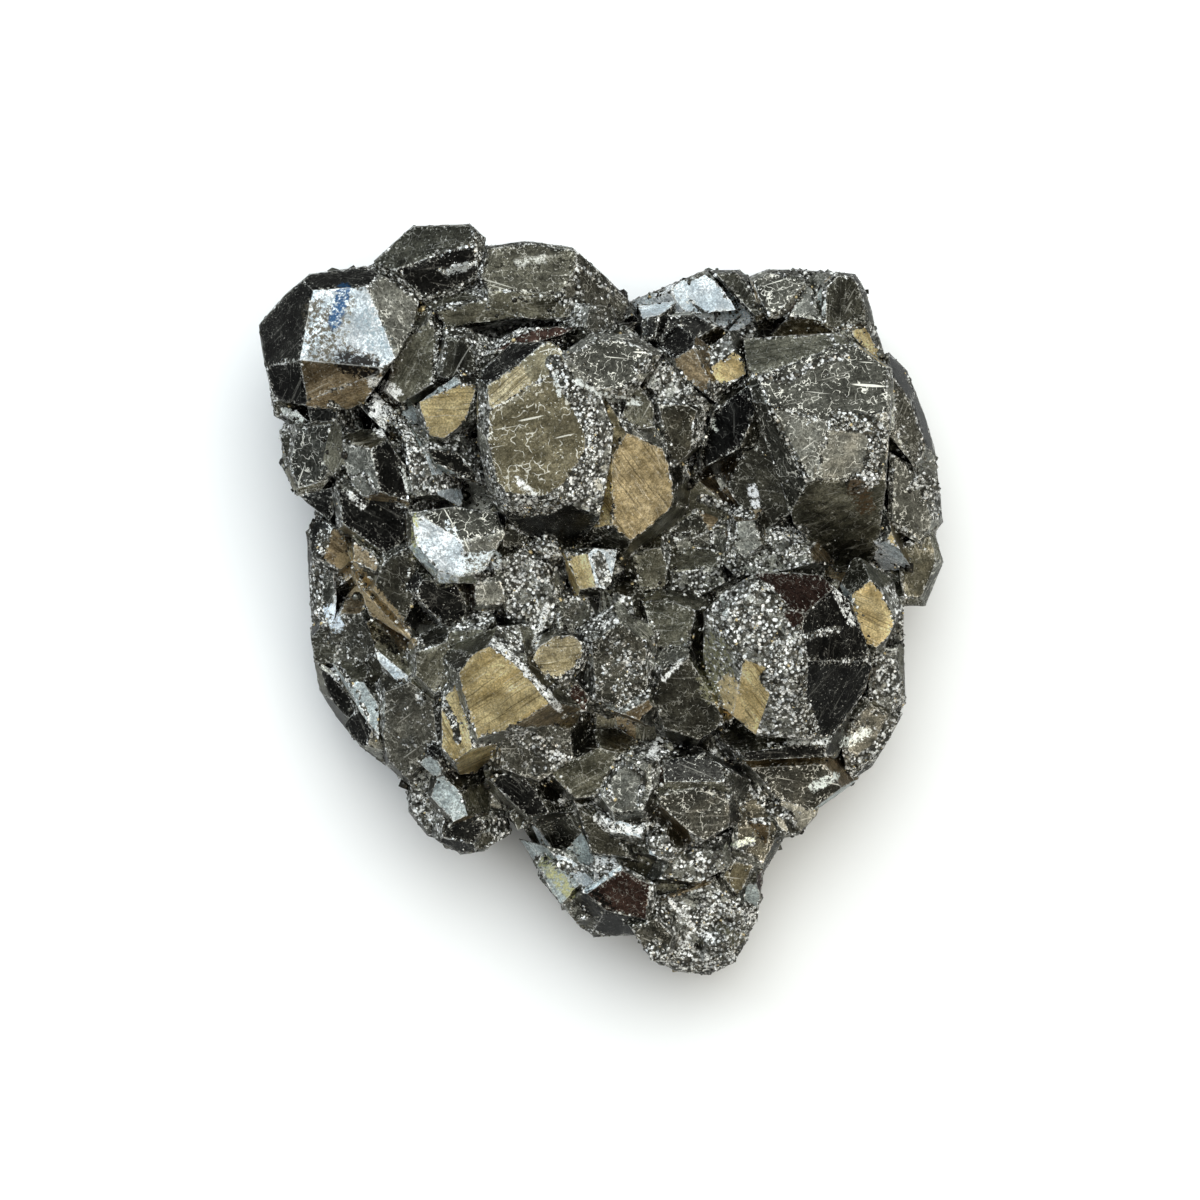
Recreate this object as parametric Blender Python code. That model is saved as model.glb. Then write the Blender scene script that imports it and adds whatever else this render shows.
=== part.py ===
"""Pyrite specimen: a flattish, heart-shaped cluster of crystals grown into one another.

The cluster is one solid. It is a lump of matrix with crystals set into it, and every crystal is a
convex body bounded by flat faces. Places on the upper side are given as pixels of the reference
photograph, 1200 by 1200, taken from straight above. Lengths are in millimetres and are turned into
metres once, when the finished solid is written.
"""

import math
import random
from dataclasses import dataclass

import bmesh
import bpy
import numpy as np
from mathutils import Matrix, Vector

# Driving dimensions, in millimetres
LENGTH = 60.0
LENGTH_IN_PIXELS = 750.0
MM_PER_PIXEL = LENGTH / LENGTH_IN_PIXELS
CENTRE_PIXEL = (600.5, 600.0)
EYE_HEIGHT = 450.0
GIRDLE_HEIGHT = 10.0
CLEAR_OF_GROUND = 0.5
METRES_PER_MM = 0.001

# How steeply a crystal falls away below the sides of its crown, one value after another
FOLDS = (56.0, 68.0, 61.0, 73.0, 59.0, 66.0)

# The outline of the cluster, clockwise from the upper left corner
OUTLINE = [
    (259, 325), (285, 297), (310, 275), (353, 268), (376, 260), (412, 227), (470, 225), (496, 245),
    (526, 242), (578, 248), (609, 279), (632, 301), (672, 284), (708, 270), (751, 277), (795, 269),
    (836, 273), (857, 276), (874, 322), (892, 353), (907, 371), (925, 417), (937, 460), (943, 521),
    (942, 564), (916, 623), (904, 659), (904, 700), (905, 715), (888, 738), (875, 763), (850, 781),
    (814, 819), (789, 845), (765, 868), (757, 925), (734, 963), (711, 974), (675, 970), (652, 960),
    (640, 942), (594, 937), (579, 925), (553, 894), (533, 858), (512, 834), (484, 850), (461, 854),
    (428, 835), (410, 812), (408, 783), (388, 765), (360, 745), (337, 717), (321, 689), (311, 640),
    (310, 576), (307, 538), (294, 493), (279, 430), (266, 366),
]

# Rings of the matrix from its foot to its top: share of the outline, and height
MATRIX_HEART = (598.0, 590.0)
MATRIX_RINGS = [
    (0.52, 0.0), (0.70, 1.3), (0.87, 4.0), (0.94, 8.0), (0.88, 11.0), (0.66, 13.2), (0.34, 14.6),
]
MATRIX_ROUGHNESS = 0.6
MATRIX_SEED = 3


@dataclass
class Crystal:
    """One crystal, from what shows of it in the photograph.

    crown: corners of its top face, clockwise, in pixels.
    height: height of the middle of the crown, in millimetres.
    lean: how far the crown tips, and towards which side (0 right, 90 up), in degrees.
    folds: angle between the crown and the face below each of its sides: one for all, one a side,
        or none for the usual run of angles.
    faces: further faces, each (parent face, two pixels of the shared edge, fold). Face 0 is the
        crown and face n hangs on the crown's side n.
    reach: corners of an outline that the whole crystal keeps to, clockwise, in pixels.
    depth: how far its middle lies under the crown, in millimetres.
    """

    crown: list
    height: float
    lean: tuple = (0, 0)
    folds: object = None
    faces: tuple = ()
    reach: list = None
    depth: float = None


CORNER_AND_TOP = [
    # Upper left corner crystal, with the frosted face
    Crystal([(313, 290), (368, 286), (396, 358), (384, 368), (300, 360)], 19.5, (9, 150),
            [46, 44, 50, 26, 42],
            ((4, (323, 395), (380, 373), 24), (5, (268, 366), (300, 360), 30)),
            [(259, 325), (284, 296), (310, 274), (366, 266), (403, 286), (420, 302), (414, 328),
             (397, 358), (366, 402), (348, 410), (316, 408), (275, 400), (265, 366)], 5.6),
    # Crest at the top
    Crystal([(394, 270), (440, 254), (476, 243), (480, 274), (446, 293), (424, 298)], 17.5,
            (12, 265), [38, 38, 50, 45, 50, 50], (),
            [(374, 261), (413, 226), (470, 224), (486, 238), (484, 276), (446, 298), (420, 302),
             (384, 284)], 4.2),
    # Long band below the crest
    Crystal([(436, 312), (486, 299), (560, 295), (555, 312), (527, 317), (447, 327)], 17.8,
            (15, 262)),
    # Broad crystal right of the crest
    Crystal([(488, 249), (527, 243), (576, 250), (578, 266), (562, 294), (488, 290), (481, 277)],
            17.8, (11, 85), [44, 40, 34, 28, 22, 46, 50], (),
            [(484, 247), (527, 241), (579, 248), (609, 279), (634, 301), (634, 322), (600, 328),
             (556, 322), (520, 318), (486, 306), (478, 272)], 4.2),
    Crystal([(487, 356), (530, 328), (578, 326), (554, 340), (519, 347)], 19.4, (18, 110)),
    # Pale plate at the dip of the outline
    Crystal([(638, 304), (706, 274), (713, 279), (750, 317), (729, 325), (713, 315), (662, 311)],
            13.0, (20, 105), 46, (),
            [(632, 301), (672, 284), (708, 269), (714, 277), (757, 320), (729, 329), (664, 316),
             (637, 318)], 3.5),
    Crystal([(716, 273), (736, 272), (747, 281), (764, 312), (756, 316)], 13.2, (26, 70), 46, (),
            [(710, 270), (740, 270), (753, 280), (770, 315), (757, 323)], 3.2),
    Crystal([(753, 280), (768, 273), (802, 276), (805, 283), (780, 311), (770, 314), (761, 302)],
            13.6, (18, 100), 46, (),
            [(749, 277), (767, 270), (796, 269), (810, 282), (786, 318), (768, 319), (757, 303)],
            3.5),
    Crystal([(808, 280), (823, 321), (790, 316)], 14.0, (26, 95)),
    Crystal([(827, 287), (838, 276), (853, 276), (862, 290), (868, 320), (840, 331), (826, 322)],
            14.2, (22, 35), 48, (),
            [(822, 286), (836, 272), (856, 274), (867, 292), (875, 323), (860, 330), (840, 336),
             (822, 326)], 3.5),
    Crystal([(850, 331), (866, 327), (887, 362), (878, 365)], 14.6, (30, 20)),
]

LEFT_SIDE = [
    Crystal([(279, 406), (296, 409), (308, 420), (302, 427), (283, 415)], 12.4, (24, 170)),
    Crystal([(307, 407), (337, 409), (339, 421), (311, 423)], 15.4, (18, 200)),
    Crystal([(297, 428), (336, 424), (339, 458), (321, 482), (298, 489), (290, 467)], 14.4,
            (22, 190), 48, (), [(284, 424), (340, 420), (344, 462), (322, 490), (297, 496),
                                (282, 466)], 3.5),
    Crystal([(342, 426), (358, 437), (368, 450), (361, 467), (347, 465)], 16.6, (18, 60)),
    Crystal([(344, 409), (377, 401), (397, 412), (404, 448), (388, 433), (364, 438)], 17.2,
            (14, 215)),
    Crystal([(371, 449), (388, 439), (406, 466), (410, 502), (381, 492)], 18.8, (20, 20)),
    Crystal([(338, 489), (378, 494), (409, 508), (412, 533), (387, 555), (343, 524)], 17.6,
            (18, 235)),
    Crystal([(299, 496), (333, 487), (334, 514), (329, 521), (317, 511)], 13.6, (22, 205)),
    Crystal([(353, 540), (378, 558), (378, 573), (354, 561)], 16.4, (14, 150)),
    Crystal([(337, 546), (350, 562), (358, 584), (414, 645), (402, 641), (360, 609), (339, 596)],
            15.4, (28, 215)),
    Crystal([(311, 543), (331, 546), (335, 595), (329, 622), (315, 612)], 11.6, (30, 185), 44, (),
            [(306, 536), (334, 542), (338, 600), (332, 632), (311, 620), (309, 576)], 3.2),
    Crystal([(384, 561), (411, 547), (419, 575), (413, 606), (404, 624), (373, 590)], 17.2,
            (20, 235)),
    Crystal([(340, 614), (361, 614), (383, 644), (371, 659), (346, 670), (325, 642)], 12.8,
            (28, 215)),
    Crystal([(375, 648), (409, 676), (405, 689), (380, 664)], 16.2, (18, 225)),
    Crystal([(346, 681), (364, 682), (379, 705), (379, 740), (358, 708)], 14.0, (18, 205)),
    Crystal([(320, 668), (337, 679), (390, 760), (378, 753), (330, 698)], 10.6, (40, 220), 40, (),
            [(314, 658), (339, 674), (396, 764), (386, 766), (360, 746), (337, 718), (320, 690)],
            3.2),
    Crystal([(386, 692), (411, 682), (434, 701), (438, 750), (409, 780), (389, 762), (384, 742)],
            15.2, (22, 235)),
    Crystal([(440, 770), (456, 771), (462, 793), (480, 811), (454, 822), (431, 797)], 15.0,
            (15, 225)),
    Crystal([(412, 789), (429, 800), (444, 829), (429, 833), (413, 812)], 11.4, (30, 215), 44, (),
            [(407, 784), (432, 796), (450, 832), (428, 836), (409, 812)], 3.2),
    Crystal([(448, 832), (481, 817), (497, 830), (483, 847), (462, 851), (444, 841)], 11.6,
            (28, 262), 44, (), [(436, 832), (482, 811), (506, 832), (485, 851), (461, 855)], 3.5),
]

UPPER_MIDDLE = [
    Crystal([(402, 342), (430, 320), (438, 334), (432, 384), (402, 404), (386, 390), (390, 372)],
            17.6, (10, 205)),
    Crystal([(446, 336), (464, 337), (477, 357), (478, 382), (456, 379), (437, 385)], 19.0,
            (14, 205)),
    # Stepped gold facet and the granular ridge around it
    Crystal([(419, 402), (463, 383), (477, 384), (481, 410), (466, 422), (461, 438), (453, 440),
             (429, 436)], 19.8, (10, 250)),
    Crystal([(402, 414), (413, 414), (426, 455), (459, 476), (456, 494), (412, 497), (409, 468)],
            19.0, (12, 235)),
    Crystal([(429, 450), (459, 452), (472, 470), (483, 484), (470, 481), (434, 462)], 18.8,
            (18, 270)),
    # Crystal with the brightest crown
    Crystal([(413, 518), (460, 514), (463, 541), (486, 555), (474, 573), (459, 578), (439, 571),
             (416, 543)], 20.4, (8, 205), [40, 18, 24, 48, 50, 46, 48, 46], (),
            [(405, 512), (458, 506), (498, 513), (507, 534), (494, 556), (478, 584), (440, 584),
             (408, 548)], 4.2),
    Crystal([(414, 594), (423, 580), (455, 580), (468, 608), (463, 623), (443, 625)], 18.2,
            (20, 260)),
    Crystal([(449, 631), (487, 628), (485, 639), (459, 662), (452, 648)], 18.4, (18, 205)),
    Crystal([(474, 582), (503, 580), (506, 604), (476, 606)], 18.8, (14, 290)),
]

CENTRE = [
    # The big middle crystal
    Crystal([(490, 411), (533, 384), (566, 367), (581, 390), (587, 426), (585, 454), (566, 482),
             (547, 496), (509, 495), (497, 481), (488, 440)], 24.2, (5, 230),
            [14, 14, 34, 30, 30, 30, 32, 56, 60, 60, 50],
            ((1, (484, 388), (532, 353), 34),),
            [(481, 370), (512, 343), (552, 341), (574, 362), (602, 396), (614, 430), (610, 470),
             (600, 520), (568, 556), (520, 530), (490, 502), (478, 440), (477, 400)], 9.0),
    # Gold flank with the long streaks
    Crystal([(613, 425), (632, 434), (658, 439), (667, 457), (675, 490), (674, 510), (651, 527),
             (634, 543), (617, 531), (604, 515), (594, 497), (600, 477), (613, 456)], 20.6,
            (24, 320), 50),
    # Veined facet above it
    Crystal([(562, 360), (597, 339), (629, 342), (655, 355), (638, 375), (625, 388), (580, 388),
             (572, 372)], 21.8, (12, 65), 44, (),
            [(556, 358), (592, 332), (632, 334), (664, 352), (642, 384), (628, 400), (578, 396)],
            3.5),
    Crystal([(630, 394), (641, 386), (654, 403), (655, 427), (641, 429), (622, 417)], 20.6,
            (24, 40)),
    Crystal([(645, 364), (675, 364), (704, 398), (690, 401), (661, 399), (647, 383)], 19.6,
            (10, 50)),
    Crystal([(659, 405), (688, 405), (697, 411), (691, 452), (676, 467), (668, 451)], 19.8,
            (14, 300)),
    Crystal([(674, 359), (694, 347), (712, 383), (706, 394), (680, 376)], 20.2, (16, 235)),
    Crystal([(711, 367), (735, 350), (746, 362), (746, 374), (728, 387), (715, 382)], 19.6,
            (14, 300)),
    Crystal([(642, 318), (660, 315), (656, 339), (642, 340)], 18.0, (16, 140)),
    Crystal([(665, 315), (696, 315), (720, 327), (706, 338), (686, 345), (669, 355), (663, 341)],
            17.4, (18, 85)),
    Crystal([(531, 548), (546, 538), (560, 550), (548, 560)], 18.8, (14, 230)),
    Crystal([(566, 556), (588, 553), (597, 588), (580, 590)], 18.8, (20, 215), [40, 26, 50, 50], (),
            [(560, 550), (588, 547), (618, 550), (612, 584), (596, 598), (574, 598)], 4.0),
    Crystal([(492, 562), (519, 553), (543, 567), (557, 595), (553, 626), (531, 636), (508, 618)],
            18.2, (12, 270)),
    Crystal([(632, 553), (661, 547), (668, 566), (666, 588), (641, 591)], 16.4, (10, 270)),
    Crystal([(643, 602), (669, 600), (697, 611), (688, 648), (656, 648)], 17.2, (14, 205)),
    Crystal([(592, 642), (620, 622), (647, 641), (648, 689), (621, 708), (597, 698)], 18.8,
            (12, 300)),
    Crystal([(622, 714), (650, 699), (654, 707), (640, 721)], 18.6, (14, 270)),
    Crystal([(661, 670), (689, 658), (710, 691), (725, 723), (700, 741), (664, 728), (655, 701)],
            17.6, (14, 255)),
    Crystal([(556, 600), (588, 598), (600, 622), (586, 636), (560, 630)], 17.6, (14, 20)),
    Crystal([(613, 592), (632, 597), (635, 617), (613, 612)], 17.0, (20, 180)),
    Crystal([(506, 522), (529, 536), (523, 549), (503, 547)], 18.4, (16, 260)),
]

RIGHT_SIDE = [
    # Big crystal on the right, its faces meeting near one point
    Crystal([(768, 403), (759, 376), (838, 345), (856, 345), (888, 368), (888, 412), (830, 423)],
            20.8, (13, 75), [40, 26, 30, 34, 46, 26, 24],
            ((6, (807, 480), (880, 480), 34), (7, (768, 405), (807, 480), 36)),
            [(727, 326), (780, 314), (808, 310), (840, 332), (872, 330), (893, 360), (894, 420),
             (886, 490), (882, 545), (862, 574), (836, 571), (790, 520), (762, 470), (752, 400)],
            9.0),
    Crystal([(714, 411), (755, 380), (760, 400), (741, 448), (702, 469), (701, 449)], 18.6,
            (26, 200)),
    Crystal([(744, 454), (766, 416), (800, 482), (796, 510), (770, 527), (737, 503), (724, 480)],
            17.0, (28, 225)),
    Crystal([(682, 492), (700, 481), (733, 509), (727, 528), (700, 523), (682, 514)], 15.2,
            (20, 270)),
    Crystal([(730, 542), (770, 536), (810, 550), (816, 568), (780, 572), (742, 582), (725, 565)],
            16.2, (18, 265)),
    Crystal([(735, 522), (757, 520), (762, 545), (745, 558), (732, 547)], 16.8, (15, 200)),
    Crystal([(672, 573), (720, 567), (726, 583), (700, 596), (673, 591)], 16.0, (20, 280)),
    Crystal([(676, 541), (691, 537), (696, 555), (680, 560)], 15.2, (20, 300)),
    # Layered rim
    Crystal([(895, 378), (912, 402), (928, 448), (916, 466), (895, 430)], 14.6, (34, 5), 40, (),
            [(889, 352), (908, 371), (926, 417), (938, 460), (920, 474), (890, 436)], 3.5),
    Crystal([(895, 444), (917, 478), (934, 520), (922, 541), (893, 520)], 13.8, (30, 350), 42, (),
            [(890, 430), (922, 470), (940, 480), (943, 522), (926, 548), (888, 526)], 3.5),
    Crystal([(886, 541), (892, 531), (900, 549)], 15.4, (14, 330)),
    Crystal([(903, 548), (930, 536), (938, 562), (922, 597), (906, 598), (900, 566)], 12.2,
            (24, 335), 44, (), [(896, 546), (934, 528), (944, 562), (926, 606), (904, 606)], 3.5),
    Crystal([(852, 594), (871, 580), (881, 589), (896, 622), (889, 638), (877, 648), (862, 641),
             (857, 626)], 16.6, (14, 305)),
    # Big crystal on the lower right
    Crystal([(726, 616), (756, 588), (778, 606), (801, 639), (806, 661), (796, 679), (778, 672),
             (747, 664), (739, 647)], 21.8, (8, 250), [44, 44, 30, 46, 46, 30, 30, 24, 46], (),
            [(704, 612), (726, 590), (756, 573), (784, 572), (822, 575), (852, 602), (874, 662),
             (866, 690), (834, 735), (806, 740), (757, 736), (716, 702), (703, 660)], 8.5),
    Crystal([(752, 768), (826, 764), (842, 788), (812, 811), (776, 798)], 14.0, (24, 290)),
    Crystal([(732, 742), (806, 744), (828, 741), (825, 757), (747, 761)], 16.6, (18, 275)),
    Crystal([(878, 658), (898, 650), (901, 690), (892, 711), (874, 700)], 13.2, (26, 345), 44, (),
            [(872, 650), (904, 642), (906, 700), (896, 722), (868, 706)], 3.5),
    Crystal([(870, 704), (898, 718), (886, 744), (862, 766), (848, 750), (853, 722)], 12.8,
            (26, 320), 44, (),
            [(864, 696), (905, 714), (889, 740), (876, 764), (850, 782), (842, 752), (848, 716)],
            3.5),
]

LOWER_TIP = [
    # Gold facet with the fine streaks
    Crystal([(459, 673), (472, 655), (491, 645), (530, 672), (559, 708), (551, 716), (510, 729),
             (481, 747), (470, 719)], 21.0, (11, 240)),
    Crystal([(532, 662), (538, 648), (555, 636), (575, 635), (584, 642), (584, 654), (575, 667),
             (560, 679), (547, 677)], 19.6, (13, 55)),
    Crystal([(561, 703), (577, 681), (590, 696), (587, 711), (566, 715)], 18.6, (18, 330)),
    Crystal([(502, 742), (550, 724), (571, 731), (573, 759), (540, 782), (503, 769)], 17.4,
            (18, 270)),
    Crystal([(442, 701), (456, 683), (468, 720), (473, 749), (455, 762), (442, 749)], 19.0,
            (22, 205)),
    Crystal([(416, 652), (447, 642), (460, 668), (449, 688), (436, 695), (416, 675)], 18.2,
            (14, 240)),
    # Overhanging dark lip above the notch
    Crystal([(482, 776), (521, 773), (541, 798), (568, 842), (562, 847), (530, 818), (503, 824),
             (487, 806)], 15.0, (18, 240)),
    Crystal([(531, 823), (545, 843), (564, 855), (618, 867), (584, 889), (560, 882), (538, 858)],
            12.4, (24, 235), 46, (),
            [(512, 832), (530, 816), (564, 850), (626, 866), (590, 900), (556, 896), (533, 860)],
            3.9),
    Crystal([(587, 894), (622, 870), (651, 885), (646, 920), (606, 911)], 14.0, (18, 245), 46, (),
            [(566, 908), (584, 888), (622, 864), (658, 884), (652, 934), (594, 937)], 4.2),
    Crystal([(601, 797), (625, 758), (652, 763), (653, 789), (644, 810), (613, 813)], 17.2,
            (11, 205)),
    Crystal([(660, 796), (701, 787), (731, 796), (730, 827), (706, 841), (689, 831), (661, 806)],
            16.2, (14, 300)),
    Crystal([(662, 760), (706, 753), (731, 771), (724, 782), (665, 782)], 17.0, (18, 85)),
    Crystal([(548, 772), (600, 747), (620, 754), (597, 796), (576, 799)], 16.6, (14, 250)),
    Crystal([(576, 803), (598, 801), (612, 826), (638, 839), (638, 860), (592, 853)], 14.2,
            (22, 255)),
    Crystal([(670, 863), (700, 852), (723, 850), (726, 869), (700, 883), (660, 879)], 13.6,
            (18, 280)),
    Crystal([(649, 837), (667, 835), (674, 849), (664, 860), (649, 855)], 15.6, (10, 260)),
    Crystal([(600, 815), (646, 828), (642, 838), (611, 832)], 15.4, (14, 205)),
    Crystal([(738, 793), (764, 791), (787, 816), (764, 864), (738, 848)], 13.0, (26, 325), 44, (),
            [(734, 786), (768, 784), (796, 818), (766, 870), (732, 856)], 3.5),
    Crystal([(724, 877), (731, 861), (755, 865), (748, 879), (739, 897)], 11.8, (22, 345), 44, (),
            [(718, 880), (728, 856), (763, 862), (759, 900), (744, 912)], 3.2),
    Crystal([(662, 902), (713, 884), (741, 907), (737, 943), (711, 966), (677, 964), (658, 948)],
            11.4, (16, 285), 44, (),
            [(652, 898), (716, 876), (756, 912), (746, 944), (711, 975), (675, 971), (650, 954)],
            3.8),
]

CRYSTALS = CORNER_AND_TOP + LEFT_SIDE + UPPER_MIDDLE + CENTRE + RIGHT_SIDE + LOWER_TIP

# Small crystals that close the sides and the underside: rows around the cluster
ROW_SEED = 7
SIDE_ROWS = [
    # height, share of the outline, smallest and largest radius, how many
    (10.4, 1.0, 1.9, 3.0, 26),
    (7.4, 0.975, 2.5, 3.9, 20),
    (4.4, 0.90, 2.8, 4.2, 16),
    (2.2, 0.76, 2.4, 3.6, 11),
]
ROW_SPACING = (0.1, 0.9)
ROW_WANDER = 1.0
# Small crystals in the gaps of the upper side, sunk under the crown nearest to them
GAP_SEED = 21
GAP_CRYSTALS = 56
GAP_RADIUS = (1.3, 2.4)
GAP_SINK = (0.9, 2.0)
GAP_REACH = 0.94
GAP_FALL_PER_PIXEL = 0.045

# A crystal with no depth of its own reaches down as far as it is wide, and at least this far
LEAST_DEPTH = 2.8

# The block that a crystal is cut from, and how finely
BLOCK_SIZE = 90.0
CUT_PRECISION = 1e-4
FLAT_ANGLE = math.radians(0.3)

PYRITE_COLOUR = (0.30, 0.26, 0.18, 1.0)
PYRITE_ROUGHNESS = 0.32
PYRITE_METALLIC = 1.0

EYE = np.array([0.0, 0.0, EYE_HEIGHT])
GROUND = (np.array([0.0, 0.0, -1.0]), -CLEAR_OF_GROUND)


def clear_scene():
    """Removes whatever the scene holds."""
    for obj in list(bpy.data.objects):
        bpy.data.objects.remove(obj, do_unlink=True)


def sight_line(pixel):
    """The direction from the eye through a pixel, at true scale on the girdle of the cluster."""
    across = (pixel[0] - CENTRE_PIXEL[0]) * MM_PER_PIXEL
    up = (CENTRE_PIXEL[1] - pixel[1]) * MM_PER_PIXEL
    return np.array([across, up, GIRDLE_HEIGHT]) - EYE


def at_height(pixel, height):
    """The point at this height that shows at this pixel."""
    line = sight_line(pixel)
    return EYE + line * (height - EYE_HEIGHT) / line[2]


def on_plane(pixel, plane):
    """The point of a plane, (normal, distance), that shows at this pixel."""
    normal, distance = plane
    line = sight_line(pixel)
    return EYE + line * (distance - normal @ EYE) / (normal @ line)


def folded_plane(parent, first, second, fold, middle):
    """The plane that turns down from its parent along the edge between two pixels.

    The fold opens away from the middle of the crystal.
    """
    start, end = on_plane(first, parent), on_plane(second, parent)
    along = (end - start) / np.linalg.norm(end - start)
    outward = np.cross(parent[0], along)
    if outward @ (start - middle) < 0:
        outward = -outward
    turn = math.radians(fold)
    normal = parent[0] * math.cos(turn) + outward * math.sin(turn)
    return normal, normal @ start


def sight_walls(outline):
    """Planes through the eye and each side of an outline, seen edge-on in the photograph."""
    middle = np.mean(outline, axis=0)
    sides = zip(outline, np.roll(outline, -1, axis=0))
    return [sight_wall(first, second, middle) for first, second in sides]


def sight_wall(first, second, inside):
    """The plane through the eye and two pixels, facing away from a third one."""
    normal = np.cross(sight_line(first), sight_line(second))
    normal /= np.linalg.norm(normal)
    if normal @ sight_line(inside) > 0:
        normal = -normal
    return normal, normal @ EYE


def side_folds(crystal):
    """The fold below each side of a crown."""
    sides = len(crystal.crown)
    if crystal.folds is None:
        return [FOLDS[side % len(FOLDS)] for side in range(sides)]
    if isinstance(crystal.folds, list):
        return crystal.folds
    return [crystal.folds] * sides


def crystal_planes(crystal):
    """The planes, (normal, distance), that bound a crystal, facing out."""
    tilt, towards = np.radians(crystal.lean)
    up = np.array([
        math.sin(tilt) * math.cos(towards),
        math.sin(tilt) * math.sin(towards),
        math.cos(tilt),
    ])
    top = at_height(np.mean(crystal.crown, axis=0), crystal.height)
    planes = [(up, up @ top)]
    corners = zip(crystal.crown, crystal.crown[1:] + crystal.crown[:1])
    for (first, second), fold in zip(corners, side_folds(crystal), strict=True):
        planes.append(folded_plane(planes[0], first, second, fold, top))
    for parent, first, second, fold in crystal.faces:
        planes.append(folded_plane(planes[parent], first, second, fold, top))
    radius = np.linalg.norm(crystal.crown - np.mean(crystal.crown, axis=0), axis=1).mean()
    depth = crystal.depth or max(radius * MM_PER_PIXEL, LEAST_DEPTH)
    heart = top - up * depth
    undersides = [(-normal, distance - 2 * normal @ heart) for normal, distance in planes]
    walls = sight_walls(crystal.reach) if crystal.reach else []
    return planes + undersides + walls + [GROUND]


def small_crystal_planes(centre, radius, chance):
    """A pyritohedron, turned at random about its centre.

    Its twelve five-sided faces square up to the directions (0, 1, 2), their mirror images and
    their turns about the axes.
    """
    axis = Vector([chance.gauss(0, 1) for _ in range(3)])
    turn = Matrix.Rotation(chance.uniform(0, math.tau), 3, axis)
    planes = [GROUND]
    for short in (-1, 1):
        for long in (-2, 2):
            for shift in range(3):
                normal = turn @ Vector(np.roll((0, short, long), shift)).normalized()
                planes.append((np.array(normal), np.array(normal) @ centre + radius))
    return planes


def convex_body(name, planes, middle):
    """A closed convex mesh: a large block around the middle, cut by every plane in turn."""
    body = bmesh.new()
    bmesh.ops.create_cube(body, size=BLOCK_SIZE, matrix=Matrix.Translation(Vector(middle)))
    for normal, distance in planes:
        cut = bmesh.ops.bisect_plane(
            body,
            geom=body.verts[:] + body.edges[:] + body.faces[:],
            dist=CUT_PRECISION,
            plane_co=Vector(normal * distance),
            plane_no=Vector(normal),
            clear_outer=True,
        )
        edges = [item for item in cut["geom_cut"] if isinstance(item, bmesh.types.BMEdge)]
        rim = [edge for edge in edges if edge.is_boundary]
        if rim:
            bmesh.ops.contextual_create(body, geom=rim)
    bmesh.ops.recalc_face_normals(body, faces=body.faces[:])
    return body_object(name, body)


def body_object(name, body):
    """An object that holds a bmesh, which is freed."""
    mesh = bpy.data.meshes.new(name)
    body.to_mesh(mesh)
    body.free()
    obj = bpy.data.objects.new(name, mesh)
    bpy.context.scene.collection.objects.link(obj)
    return obj


def drawn_in(pixel, share):
    """A pixel moved towards the heart of the matrix, to this share of its distance."""
    heart = np.array(MATRIX_HEART)
    return heart + (np.array(pixel, float) - heart) * share


def outline_side(share_around):
    """The side of the outline at this share of the way around, and the pixel on it."""
    place = share_around % 1.0 * len(OUTLINE)
    corner = int(place)
    first = np.array(OUTLINE[corner], float)
    second = np.array(OUTLINE[(corner + 1) % len(OUTLINE)], float)
    return corner, first + (second - first) * (place - corner)


def outline_walls(side):
    """The planes seen edge-on along a side of the outline and the sides next to it."""
    walls = []
    for near in (side - 1, side, side + 1):
        first = OUTLINE[near % len(OUTLINE)]
        second = OUTLINE[(near + 1) % len(OUTLINE)]
        walls.append(sight_wall(first, second, MATRIX_HEART))
    return walls


def matrix_body():
    """The lump that the crystals sit on: rings of the outline, one above another, roughened.

    Every second corner of the outline is enough for it, the two dips among them.
    """
    chance = random.Random(MATRIX_SEED)
    body = bmesh.new()
    rings = []
    for share, height in MATRIX_RINGS:
        wander = MATRIX_ROUGHNESS if height > 0 else 0.0
        ring = []
        for corner in OUTLINE[1::2]:
            level = height + chance.uniform(-wander, wander)
            ring.append(body.verts.new(at_height(drawn_in(corner, share), level)))
        rings.append(ring)
    for lower, upper in zip(rings, rings[1:]):
        for corner in range(len(lower)):
            after = (corner + 1) % len(lower)
            quad = [lower[corner], lower[after], upper[after], upper[corner]]
            if chance.random() < 0.5:
                quad = quad[1:] + quad[:1]
            body.faces.new((quad[0], quad[1], quad[2]))
            body.faces.new((quad[0], quad[2], quad[3]))
    body.faces.new(rings[0])
    top = body.faces.new(rings[-1])
    bmesh.ops.poke(body, faces=[top])
    bmesh.ops.recalc_face_normals(body, faces=body.faces[:])
    return body_object("matrix", body)


def side_crystals():
    """Rows of small crystals around the sides and the underside, none past the outline."""
    chance = random.Random(ROW_SEED)
    for height, share, smallest, largest, count in SIDE_ROWS:
        for step in range(count):
            radius = chance.uniform(smallest, largest)
            side, pixel = outline_side((step + chance.uniform(*ROW_SPACING)) / count)
            level = height + chance.uniform(-ROW_WANDER, ROW_WANDER)
            rim = at_height(drawn_in(pixel, share), level)
            heart = at_height(MATRIX_HEART, level)
            centre = rim + (heart - rim) / np.linalg.norm(heart - rim) * radius
            yield centre, small_crystal_planes(centre, radius, chance) + outline_walls(side)


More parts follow.
